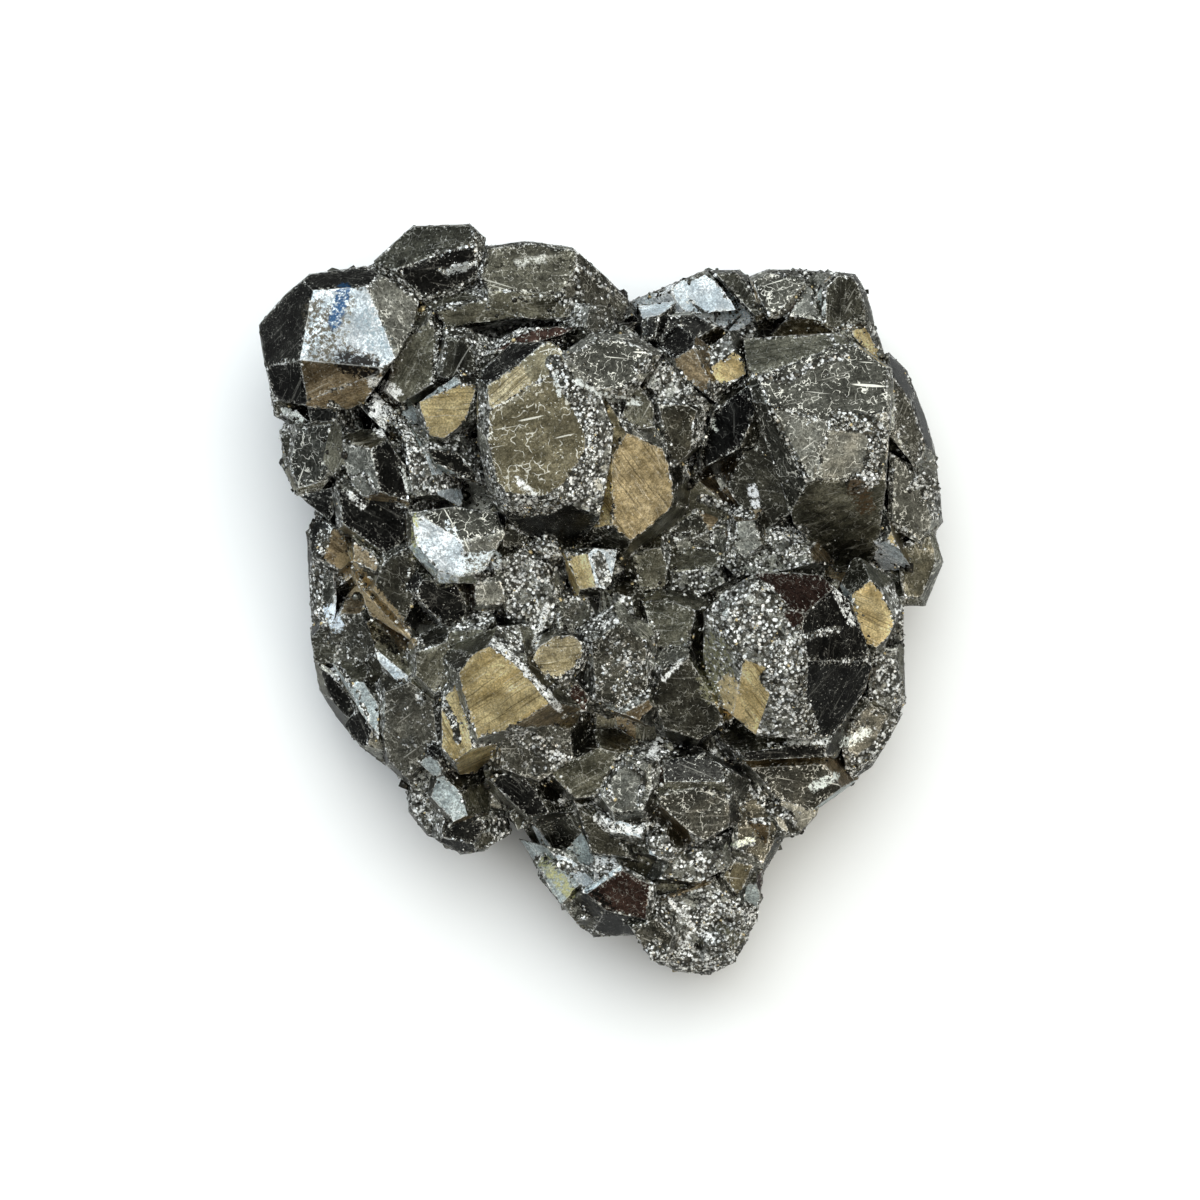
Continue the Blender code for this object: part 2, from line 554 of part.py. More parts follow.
def gap_crystals():
    """Small crystals scattered over the upper side, where the large ones leave gaps."""
    chance = random.Random(GAP_SEED)
    middles = np.array([np.mean(crystal.crown, axis=0) for crystal in CRYSTALS])
    for _ in range(GAP_CRYSTALS):
        radius = chance.uniform(*GAP_RADIUS)
        side, edge = outline_side(chance.random())
        pixel = drawn_in(edge, math.sqrt(chance.uniform(0.0, GAP_REACH ** 2)))
        nearest = int(np.argmin(np.linalg.norm(middles - pixel, axis=1)))
        away = np.linalg.norm(middles[nearest] - pixel)
        top = CRYSTALS[nearest].height - GAP_FALL_PER_PIXEL * away - chance.uniform(*GAP_SINK)
        centre = at_height(pixel, top - radius)
        planes = small_crystal_planes(centre, radius, chance) + outline_walls(side)
        yield centre, planes


def joined(matrix, crystals):
    """One mesh of everything: the Boolean union of the matrix and all crystals."""
    group = bpy.data.collections.new("crystals")
    bpy.context.scene.collection.children.link(group)
    for crystal in crystals:
        bpy.context.scene.collection.objects.unlink(crystal)
        group.objects.link(crystal)
    union = matrix.modifiers.new("join", "BOOLEAN")
    union.operation = "UNION"
    union.solver = "EXACT"
    union.operand_type = "COLLECTION"
    union.collection = group
    graph = bpy.context.evaluated_depsgraph_get()
    mesh = bpy.data.meshes.new_from_object(matrix.evaluated_get(graph))
    for obj in [matrix] + crystals:
        bpy.data.objects.remove(obj, do_unlink=True)
    bpy.data.collections.remove(group)
    return mesh


def islands(body):
    """The faces of each connected part of a bmesh."""
    left = set(body.faces)
    while left:
        found = []
        border = [left.pop()]
        while border:
            face = border.pop()
            found.append(face)
            near = {other for edge in face.edges for other in edge.link_faces} & left
            left -= near
            border.extend(near)
        yield found


def outer_skin(mesh):
    """Keeps the outer skin alone, so that no hollow stays closed inside, and tidies flat faces."""
    body = bmesh.new()
    body.from_mesh(mesh)
    parts = sorted(islands(body), key=lambda faces: sum(face.calc_area() for face in faces))
    inner = [face for faces in parts[:-1] for face in faces]
    bmesh.ops.delete(body, geom=inner, context="FACES")
    bmesh.ops.dissolve_limit(
        body, angle_limit=FLAT_ANGLE, verts=body.verts[:], edges=body.edges[:]
    )
    bmesh.ops.triangulate(body, faces=body.faces[:])
    bmesh.ops.transform(body, matrix=Matrix.Scale(METRES_PER_MM, 4), verts=body.verts[:])
    body.to_mesh(mesh)
    body.free()


def pyrite_material():
    """Pale brassy metal of the crystal faces."""
    material = bpy.data.materials.new("pyrite")
    material.use_nodes = True
    shader = material.node_tree.nodes["Principled BSDF"]
    shader.inputs["Base Color"].default_value = PYRITE_COLOUR
    shader.inputs["Metallic"].default_value = PYRITE_METALLIC
    shader.inputs["Roughness"].default_value = PYRITE_ROUGHNESS
    return material


def build():
    """Makes the cluster, resting on the plane z = 0."""
    clear_scene()
    bodies = []
    for number, crystal in enumerate(CRYSTALS):
        middle = at_height(np.mean(crystal.crown, axis=0), crystal.height)
        bodies.append(convex_body(f"crystal_{number}", crystal_planes(crystal), middle))
    for centre, planes in list(side_crystals()) + list(gap_crystals()):
        bodies.append(convex_body("small_crystal", planes, centre))
    mesh = joined(matrix_body(), bodies)
    outer_skin(mesh)
    mesh.name = "pyrite_cluster"
    mesh.materials.clear()
    mesh.materials.append(pyrite_material())
    cluster = bpy.data.objects.new("pyrite_cluster", mesh)
    bpy.context.scene.collection.objects.link(cluster)


build()
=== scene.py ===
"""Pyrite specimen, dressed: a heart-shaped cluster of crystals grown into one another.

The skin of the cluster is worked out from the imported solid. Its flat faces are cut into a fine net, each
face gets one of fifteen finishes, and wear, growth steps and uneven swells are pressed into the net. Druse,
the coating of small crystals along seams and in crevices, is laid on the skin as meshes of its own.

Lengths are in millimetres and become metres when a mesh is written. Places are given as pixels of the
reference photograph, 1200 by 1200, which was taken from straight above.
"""

from __future__ import annotations

import logging
import math
from collections.abc import Sequence
from dataclasses import dataclass, field
from enum import Enum, IntEnum

import bmesh
import bpy
import numpy as np
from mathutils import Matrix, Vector

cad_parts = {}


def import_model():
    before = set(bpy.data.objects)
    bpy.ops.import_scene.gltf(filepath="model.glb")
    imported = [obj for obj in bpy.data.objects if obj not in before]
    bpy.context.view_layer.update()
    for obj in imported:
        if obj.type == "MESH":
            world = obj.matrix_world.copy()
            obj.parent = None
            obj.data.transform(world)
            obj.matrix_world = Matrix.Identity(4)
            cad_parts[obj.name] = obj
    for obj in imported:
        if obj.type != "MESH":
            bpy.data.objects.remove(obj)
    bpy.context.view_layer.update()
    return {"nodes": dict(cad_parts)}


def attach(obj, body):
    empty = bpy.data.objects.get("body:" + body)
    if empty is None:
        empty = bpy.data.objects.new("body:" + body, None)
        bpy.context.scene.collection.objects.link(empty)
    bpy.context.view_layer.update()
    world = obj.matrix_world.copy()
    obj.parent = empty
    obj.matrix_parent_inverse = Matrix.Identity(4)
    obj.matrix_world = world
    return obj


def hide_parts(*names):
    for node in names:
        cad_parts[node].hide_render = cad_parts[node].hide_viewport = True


LOG = logging.getLogger("pyrite")

MM = 0.001
CLUSTER_NODE = "pyrite_cluster"
BODY = "root"

# Shares of a band's width: out to the first it is full, past the second it is gone
BAND_CORE = 0.3
BAND_RIM = 0.62

Colour = tuple[float, float, float]
Pixel = tuple[float, float]


class Seed(IntEnum):
    """Seeds of the random patterns."""

    FINISH = 5
    TINT = 6
    STEPS = 11
    WEAR = 12
    RELIEF = 13
    SWELL = 14
    RIDGE_DRUSE = 31
    CREVICE_DRUSE = 32
    MATRIX_DRUSE = 33
    CLOUDS = 34
    FINE_CLOUDS = 35


class Finish(Enum):
    """Finishes of a crystal face, in the order of the skin's material slots."""

    FROST = 0
    PALE = 1
    GOLD = 2
    BROWN = 3
    BRONZE = 4
    OLIVE = 5
    GREY = 6
    DARK = 7
    BLACK = 8
    RED = 9
    SILVER = 10
    SPECKLED = 11
    SLATE = 12
    BRASS = 13
    BROKEN = 14


@dataclass(frozen=True)
class FaceFinish:
    """What one finish looks like and how it shapes the face.

    Attributes:
        deep: colour of the darker parts of the face, linear.
        pale: colour of its lighter parts, linear.
        roughness: roughness of the bare face.
        streak: how strongly growth streaks show, 0 to 1.
        pitch: distance between streaks, in millimetres.
        vein: how strongly pale hairlines show, 0 to 1.
        cover: share of the face that sparkling grains cover.
        step: height of a growth step, in millimetres.
        relief: depth of the face's uneven swells, in millimetres.
        metallic: metallic share; frosted faces scatter some of the light.
        vein_scale: cells between hairlines, for each millimetre.
        vein_width: half the width of a hairline, as a share of a cell.
        mottle: how strongly dark mottling shows, 0 to 1.
    """

    deep: Colour
    pale: Colour
    roughness: float
    streak: float = 0.2
    pitch: float = 0.16
    vein: float = 0.0
    cover: float = 0.0
    step: float = 0.0
    relief: float = 0.02
    metallic: float = 1.0
    vein_scale: float = 0.75
    vein_width: float = 0.03
    mottle: float = 0.5


# A finish's colours are partly tarnish and partly painted light: pale finishes stand for faces that catch the
# light, dark ones for faces in shade
FINISHES: dict[Finish, FaceFinish] = {
    Finish.FROST: FaceFinish(
        (0.52, 0.62, 0.68), (1.0, 1.0, 1.0), roughness=0.42, streak=0.15, pitch=0.3, vein=0.1, cover=0.2,
        relief=0.05, metallic=0.36, mottle=0.7),
    Finish.PALE: FaceFinish(
        (0.32, 0.38, 0.39), (0.86, 0.94, 0.94), roughness=0.38, pitch=0.2, vein=0.2, cover=0.2,
        relief=0.03, metallic=0.65, mottle=0.6),
    Finish.GOLD: FaceFinish(
        (0.56, 0.43, 0.2), (1.0, 0.84, 0.48), roughness=0.4, streak=0.9, pitch=0.15, vein=0.1, cover=0.02,
        step=0.05, mottle=0.3),
    Finish.BROWN: FaceFinish(
        (0.16, 0.12, 0.07), (0.48, 0.38, 0.24), roughness=0.36, streak=0.8, pitch=0.14, vein=0.1,
        cover=0.05, step=0.04),
    Finish.BRONZE: FaceFinish(
        (0.18, 0.158, 0.098), (0.4, 0.355, 0.235), roughness=0.42, streak=0.4, pitch=0.3, vein=0.72,
        cover=0.06, step=0.02, relief=0.03, vein_scale=0.45, vein_width=0.035),
    Finish.OLIVE: FaceFinish(
        (0.095, 0.092, 0.066), (0.34, 0.325, 0.245), roughness=0.34, streak=0.6, pitch=0.18, vein=0.35,
        cover=0.12, step=0.03),
    Finish.GREY: FaceFinish(
        (0.15, 0.15, 0.128), (0.53, 0.53, 0.47), roughness=0.36, streak=0.35, pitch=0.2, vein=0.8,
        cover=0.25, step=0.02, relief=0.03),
    Finish.DARK: FaceFinish(
        (0.032, 0.031, 0.025), (0.135, 0.13, 0.1), roughness=0.3, streak=0.4, pitch=0.2, vein=0.3,
        cover=0.12, step=0.02),
    Finish.BLACK: FaceFinish(
        (0.008, 0.008, 0.008), (0.04, 0.04, 0.036), roughness=0.25, streak=0.3, pitch=0.24, vein=0.12,
        cover=0.05, relief=0.01),
    Finish.RED: FaceFinish(
        (0.028, 0.016, 0.013), (0.085, 0.052, 0.042), roughness=0.28, streak=0.1, pitch=0.24, vein=0.2,
        cover=0.08, relief=0.01),
    Finish.SILVER: FaceFinish(
        (0.13, 0.13, 0.11), (0.56, 0.57, 0.52), roughness=0.34, streak=0.1, pitch=0.2, vein=0.4, cover=0.7,
        relief=0.06, metallic=0.8, mottle=0.6),
    Finish.SPECKLED: FaceFinish(
        (0.05, 0.05, 0.04), (0.2, 0.195, 0.165), roughness=0.34, pitch=0.2, vein=0.4, cover=0.4,
        relief=0.05),
    Finish.SLATE: FaceFinish(
        (0.032, 0.032, 0.027), (0.118, 0.117, 0.1), roughness=0.36, streak=0.4, pitch=0.2, vein=0.75,
        cover=0.2, step=0.02, relief=0.03),
    Finish.BRASS: FaceFinish(
        (0.24, 0.195, 0.105), (0.54, 0.46, 0.29), roughness=0.4, streak=0.9, pitch=0.15, vein=0.15,
        cover=0.03, step=0.05),
    Finish.BROKEN: FaceFinish(
        (0.05, 0.047, 0.038), (0.18, 0.17, 0.14), roughness=0.45, streak=0.0, pitch=0.2, cover=0.35,
        relief=0.22),
}

# Crystal faces picked out in the photograph: a pixel inside each, and the angle of its streaks in degrees.
# The finish given to a face is partly its tarnish colour and partly painted light and shade.
FACE_PLACES: dict[Finish, list[tuple[float, float, float]]] = {
    Finish.FROST: [
        (716, 295, -30), (890, 556, 40), (345, 330, 60), (436, 545, 0), (647, 298, -10), (667, 300, -10),
        (656, 308, -10), (686, 295, -30), (667, 289, -10), (708, 316, -20), (743, 321, -30),
        (392, 668, -40), (604, 565, 0), (625, 827, 10), (661, 846, 0), (574, 870, -50), (603, 865, -40),
        (540, 836, -50), (334, 610, 0), (447, 580, 0), (730, 314, -30), (448, 485, -30),
    ],
    Finish.PALE: [
        (366, 704, -60), (449, 798, 20), (837, 793, 30), (601, 879, 30), (567, 874, -50), (544, 862, -50),
        (536, 849, -50), (557, 883, -50), (583, 854, -40), (505, 340, 30), (448, 471, -35),
        (410, 426, -60), (820, 304, 80), (424, 559, 0), (344, 682, -50), (844, 592, -60), (753, 899, 80),
        (445, 387, 5), (432, 765, 0),
    ],
    Finish.GOLD: [
        (608, 504, -50), (448, 409, 2), (730, 368, -35), (874, 612, -25), (754, 694, -65), (723, 710, -65),
        (500, 692, 35), (584, 570, -75), (572, 575, -75), (477, 760, 0), (868, 342, -60), (874, 356, -60),
        (892, 539, -40), (455, 726, -60),
    ],
    Finish.BRASS: [(900, 540, -40), (508, 385, 40), (641, 485, -50), (614, 426, -50), (545, 672, 10)],
    Finish.SLATE: [
        (831, 384, 20), (611, 363, 20), (778, 290, 40), (701, 810, 0), (800, 783, 10), (311, 455, 90),
        (782, 455, -60), (466, 520, -40),
    ],
    Finish.BROWN: [
        (333, 376, 30), (348, 394, 30), (694, 369, -40), (703, 356, -40), (337, 549, -35), (350, 546, -35),
        (365, 556, -35), (346, 569, -35), (355, 592, -30), (353, 605, -25), (378, 612, -25),
        (641, 710, 20), (632, 718, 0), (628, 725, 0), (731, 470, 40), (727, 492, 40), (742, 512, 20),
        (552, 716, 30), (786, 762, 10), (822, 554, -20), (832, 572, -30), (850, 327, -60), (710, 519, 0),
    ],
    Finish.BRONZE: [(540, 435, 35), (544, 361, 35), (738, 875, 10)],
    Finish.OLIVE: [
        (639, 409, 80), (452, 300, 8), (472, 314, 8), (525, 306, 6), (542, 302, 6), (506, 245, 6),
        (551, 245, 6), (413, 364, 60), (335, 448, 70), (784, 350, 12), (800, 327, 10), (841, 338, 10),
        (684, 494, 0), (669, 519, 30), (639, 544, 0), (654, 543, 0), (652, 568, 80), (632, 570, 80),
        (655, 594, 0), (694, 558, 0), (707, 501, 0), (689, 598, 0), (918, 567, -60), (936, 545, -60),
        (878, 574, -40), (914, 600, -60), (672, 622, 0), (698, 627, -60), (699, 786, 0), (587, 772, 30),
        (364, 436, 20), (616, 739, 0), (477, 796, -50), (459, 779, 0), (464, 634, 10), (475, 642, 10),
        (352, 670, -40), (432, 666, 60), (421, 395, 30), (840, 516, 50), (389, 643, -25), (752, 739, 0),
    ],
    Finish.GREY: [
        (395, 310, -60), (294, 414, -20), (362, 468, 60), (577, 374, 30), (803, 438, 60), (856, 449, 85),
        (789, 302, 40), (804, 306, 40), (776, 315, 20), (651, 435, 0), (650, 367, 0), (747, 536, 0),
        (809, 565, 0), (906, 501, -80), (893, 407, 85), (901, 445, 85), (927, 457, -80), (885, 526, 80),
        (932, 527, -80), (902, 584, 40), (932, 582, 60), (673, 655, 30), (635, 620, 0), (631, 786, 0),
        (746, 857, 0), (794, 817, 30), (489, 593, -50), (490, 576, -50), (488, 607, 0), (473, 485, 0),
        (434, 499, 0), (487, 457, 0), (456, 683, 80), (891, 389, 85), (736, 835, 0), (482, 550, -40),
        (473, 499, -30), (818, 281, 0),
    ],
    Finish.DARK: [
        (752, 832, 0), (411, 248, 12), (455, 236, 12), (529, 268, 6), (687, 702, 0), (757, 388, 30),
        (458, 358, 80), (455, 331, 30), (570, 336, 0), (469, 378, 0), (411, 528, 60), (501, 517, 0),
        (513, 536, 0), (504, 551, 0), (714, 335, 0), (739, 342, 0), (764, 328, 10), (845, 303, 80),
        (762, 310, 60), (742, 290, 60), (743, 275, 0), (724, 271, 0), (831, 280, 80), (753, 432, -70),
        (763, 526, 0), (782, 519, 0), (853, 574, 40), (677, 429, -70), (614, 544, 0), (598, 533, 0),
        (592, 592, 0), (889, 485, -85), (859, 708, 60), (685, 752, 0), (740, 786, 0), (735, 810, 80),
        (601, 836, 0), (632, 815, 0), (690, 527, 0), (589, 909, 40), (566, 830, -40), (547, 832, -50),
        (556, 807, -40), (396, 583, -30), (430, 637, 0), (456, 658, 0), (391, 682, 0), (516, 775, -30),
        (587, 743, 0), (397, 549, -40), (868, 307, -70), (324, 646, 0), (626, 584, 0),
    ],
    Finish.BLACK: [
        (788, 752, 5), (691, 324, 0), (287, 326, 20), (343, 278, 5), (289, 382, 60), (375, 519, -30),
        (443, 271, 12), (508, 359, 40), (550, 517, 0), (455, 463, -20), (391, 470, 60), (321, 501, -20),
        (393, 437, -60), (384, 383, 0), (372, 398, 0), (385, 402, 0), (390, 399, 0), (383, 415, 0),
        (369, 418, 0), (322, 415, 0), (443, 601, 0), (415, 616, 0), (415, 582, 0), (651, 327, 0),
        (665, 322, 0), (652, 342, 0), (678, 341, 0), (624, 406, 80), (729, 427, -70), (722, 462, -50),
        (834, 640, 70), (831, 694, 70), (902, 376, -70), (923, 422, -75), (858, 281, -60), (615, 924, 0),
        (320, 534, 60), (520, 794, -40), (477, 820, 20), (358, 727, -50), (737, 297, 60), (694, 768, 0),
        (338, 694, -60),
    ],
    Finish.RED: [
        (537, 334, 20), (794, 588, -30), (795, 618, -30), (579, 696, 20), (473, 596, 80), (624, 895, -10),
    ],
    Finish.SILVER: [
        (473, 456, 0), (506, 324, 0), (671, 384, 0), (527, 592, -60), (721, 658, 60), (480, 247, 0),
        (483, 261, 0), (397, 280, 0), (436, 297, 0), (463, 285, 0), (475, 288, 0), (485, 290, 0),
        (578, 315, 0), (551, 323, 0), (532, 324, 0), (479, 341, 0), (438, 359, 0), (481, 363, 0),
        (492, 356, 0), (474, 407, 0), (483, 408, 0), (466, 429, 0), (420, 420, 0), (350, 417, 0),
        (399, 447, -60), (421, 473, -60), (498, 496, 0), (591, 475, 0), (577, 498, 0), (601, 441, 0),
        (595, 408, 0), (722, 348, -30), (670, 359, 0), (634, 386, 0), (614, 392, 0), (650, 391, 0),
        (668, 400, 0), (659, 416, 0), (700, 428, 0), (667, 448, 0), (699, 580, 0), (728, 584, 30),
        (756, 551, 0), (788, 533, 0), (767, 558, 0), (918, 474, 0), (923, 486, 0), (906, 532, 0),
        (893, 598, 0), (734, 595, 0), (767, 635, 20), (783, 710, 0), (873, 679, 0), (822, 740, 0),
        (896, 634, 0), (888, 680, 0), (774, 804, 0), (763, 820, 0), (653, 657, 0), (658, 675, 0),
        (635, 702, 0), (648, 751, 0), (613, 775, 0), (697, 866, 0), (652, 900, 0), (666, 919, 0),
        (698, 919, 0), (746, 917, 0), (437, 826, 0), (423, 810, 0), (447, 689, 0), (438, 717, 0),
        (451, 759, 0), (497, 759, 0), (589, 666, 0), (532, 556, 0), (555, 575, 0), (546, 549, 0),
        (474, 621, 0), (511, 643, -30), (325, 565, 70), (381, 704, 0), (411, 658, 0), (602, 622, 0),
        (697, 839, 0), (715, 842, 0), (710, 950, 0), (720, 935, 0), (735, 940, 0),
    ],
    Finish.SPECKLED: [
        (322, 591, 70), (869, 732, 0), (621, 665, 0), (592, 294, -50), (600, 276, -50), (582, 333, 0),
        (347, 483, 0), (908, 425, 85), (574, 612, 0), (352, 638, 0), (555, 620, 0), (576, 910, 40),
        (408, 727, 60), (655, 938, 0), (538, 752, 20), (602, 318, 0),
    ],
}

# Finishes of the faces that were not picked out, with how often each occurs
USUAL_FINISHES: dict[Finish, float] = {
    Finish.DARK: 0.22, Finish.BLACK: 0.06, Finish.OLIVE: 0.20, Finish.GREY: 0.15, Finish.SILVER: 0.18,
    Finish.SPECKLED: 0.12, Finish.BROWN: 0.05, Finish.RED: 0.02,
}


@dataclass(frozen=True)
class GrainBand:
    """A band of sparkling grains.

    Attributes:
        path: the pixels that its middle line runs through.
        width: its width, in pixels.
        strength: how thickly the grains lie, 0 to 1.
    """

    path: tuple[Pixel, ...]
    width: float
    strength: float = 1.0


# Seams, crevices and patches that are full of grains
GRAIN_BANDS: list[GrainBand] = [
    GrainBand(((378, 384), (392, 400), (380, 428)), 16),
    GrainBand(((368, 266), (385, 271), (419, 300), (448, 294), (480, 283), (482, 263), (473, 232)), 7, 0.8),
    GrainBand(((441, 271), (473, 263)), 7, 0.8),
    GrainBand(((429, 314), (451, 304), (482, 300)), 4, 0.7),
    GrainBand(((441, 329), (439, 346), (434, 384)), 6),
    GrainBand(((446, 329), (468, 329), (485, 353), (480, 365)), 6, 0.9),
    GrainBand(((485, 353), (519, 331), (555, 321), (577, 321)), 9, 0.8),
    GrainBand(((562, 302), (579, 300), (577, 268), (587, 270)), 9, 0.7),
    GrainBand(((555, 363), (572, 389), (587, 416), (599, 443), (587, 467), (574, 489), (553, 503), (526, 508),
               (507, 501)), 20),
    GrainBand(((395, 418), (410, 443), (414, 467), (424, 484), (458, 481)), 18, 0.8),
    GrainBand(((419, 450), (448, 443), (470, 428), (480, 416)), 8, 0.8),
    GrainBand(((468, 464), (485, 457), (492, 477)), 8, 0.8),
    GrainBand(((337, 477), (366, 474), (378, 494)), 7, 0.6),
    GrainBand(((332, 404), (347, 416)), 10, 0.7),
    GrainBand(((325, 535), (318, 560), (316, 600), (325, 625)), 16, 0.7),
    GrainBand(((600, 300), (605, 340)), 18, 0.35),
    GrainBand(((641, 367), (660, 365), (677, 375), (684, 389), (701, 401)), 15),
    GrainBand(((701, 401), (708, 423), (699, 443), (687, 472)), 11),
    GrainBand(((580, 389), (616, 397), (628, 401)), 5, 0.9),
    GrainBand(((711, 394), (723, 389), (745, 380)), 10),
    GrainBand(((694, 346), (716, 353), (725, 360)), 4),
    GrainBand(((754, 377), (788, 380), (822, 360), (847, 355)), 9, 0.7),
    GrainBand(((769, 406), (803, 416), (832, 426)), 4, 0.9),
    GrainBand(((769, 406), (788, 443), (808, 481)), 6),
    GrainBand(((837, 421), (866, 423), (880, 435), (871, 477), (856, 484)), 22, 0.9),
    GrainBand(((701, 498), (716, 503), (735, 510), (750, 515)), 12, 0.7),
    GrainBand(((733, 525), (730, 554), (737, 569)), 13, 0.7),
    GrainBand(((781, 532), (803, 532), (788, 554)), 15),
    GrainBand(((529, 547), (551, 539), (560, 564)), 13),
    GrainBand(((599, 559), (607, 583)), 15),
    GrainBand(((512, 556), (529, 581)), 5),
    GrainBand(((500, 624), (502, 602)), 4, 0.7),
    GrainBand(((548, 605), (536, 646)), 5, 0.9),
    GrainBand(((493, 644), (517, 661), (558, 707)), 8),
    GrainBand(((585, 636), (587, 656), (577, 670), (551, 690)), 7),
    GrainBand(((600, 625), (618, 650), (640, 670), (625, 690)), 30, 0.45),
    GrainBand(((514, 733), (539, 745), (558, 760)), 20, 0.9),
    GrainBand(((439, 694), (454, 721), (459, 740)), 8),
    GrainBand(((410, 794), (430, 818)), 13, 0.8),
    GrainBand(((539, 859), (575, 869), (611, 867)), 12, 0.6),
    GrainBand(((599, 818), (614, 828), (640, 830)), 7),
    GrainBand(((612, 800), (606, 778), (625, 762), (645, 775), (640, 803)), 8, 0.8),
    GrainBand(((325, 610), (338, 627)), 10),
    GrainBand(((355, 568), (367, 590)), 5),
    GrainBand(((405, 624), (422, 644)), 8, 0.8),
    GrainBand(((338, 663), (357, 690), (376, 738)), 4),
    GrainBand(((772, 678), (801, 710), (809, 731)), 26, 0.8),
    GrainBand(((769, 745), (801, 742), (825, 745)), 5),
    GrainBand(((726, 640), (745, 610), (760, 620), (790, 660)), 24, 0.8),
    GrainBand(((756, 585), (768, 592), (780, 606)), 16, 0.9),
    GrainBand(((798, 628), (805, 655), (804, 692)), 8, 0.8),
    GrainBand(((801, 640), (815, 634), (838, 629)), 8, 0.9),
    GrainBand(((871, 656), (890, 667), (903, 710), (881, 747), (855, 769)), 18, 0.8),
    GrainBand(((900, 608), (908, 635)), 10, 0.8),
    GrainBand(((758, 796), (790, 817), (796, 838)), 14, 0.7),
    GrainBand(((650, 830), (667, 853)), 24),
    GrainBand(((694, 852), (710, 873)), 20, 0.8),
    GrainBand(((731, 849), (753, 844)), 5),
    GrainBand(((710, 916), (747, 919), (731, 948), (694, 967), (659, 956)), 34),
    GrainBand(((654, 895), (675, 935), (694, 948)), 10, 0.8),
    GrainBand(((587, 932), (632, 943)), 9, 0.6),
]


@dataclass(frozen=True)
class Stain(GrainBand):
    """A stained band, laid out like a band of grains; the white ones are painted glints.

    Attributes:
        colour: its colour, linear.
    """

    colour: Colour = (0.02, 0.02, 0.02)


# Colour of the painted glints among the stains
WHITE: Colour = (0.95, 0.95, 0.92)
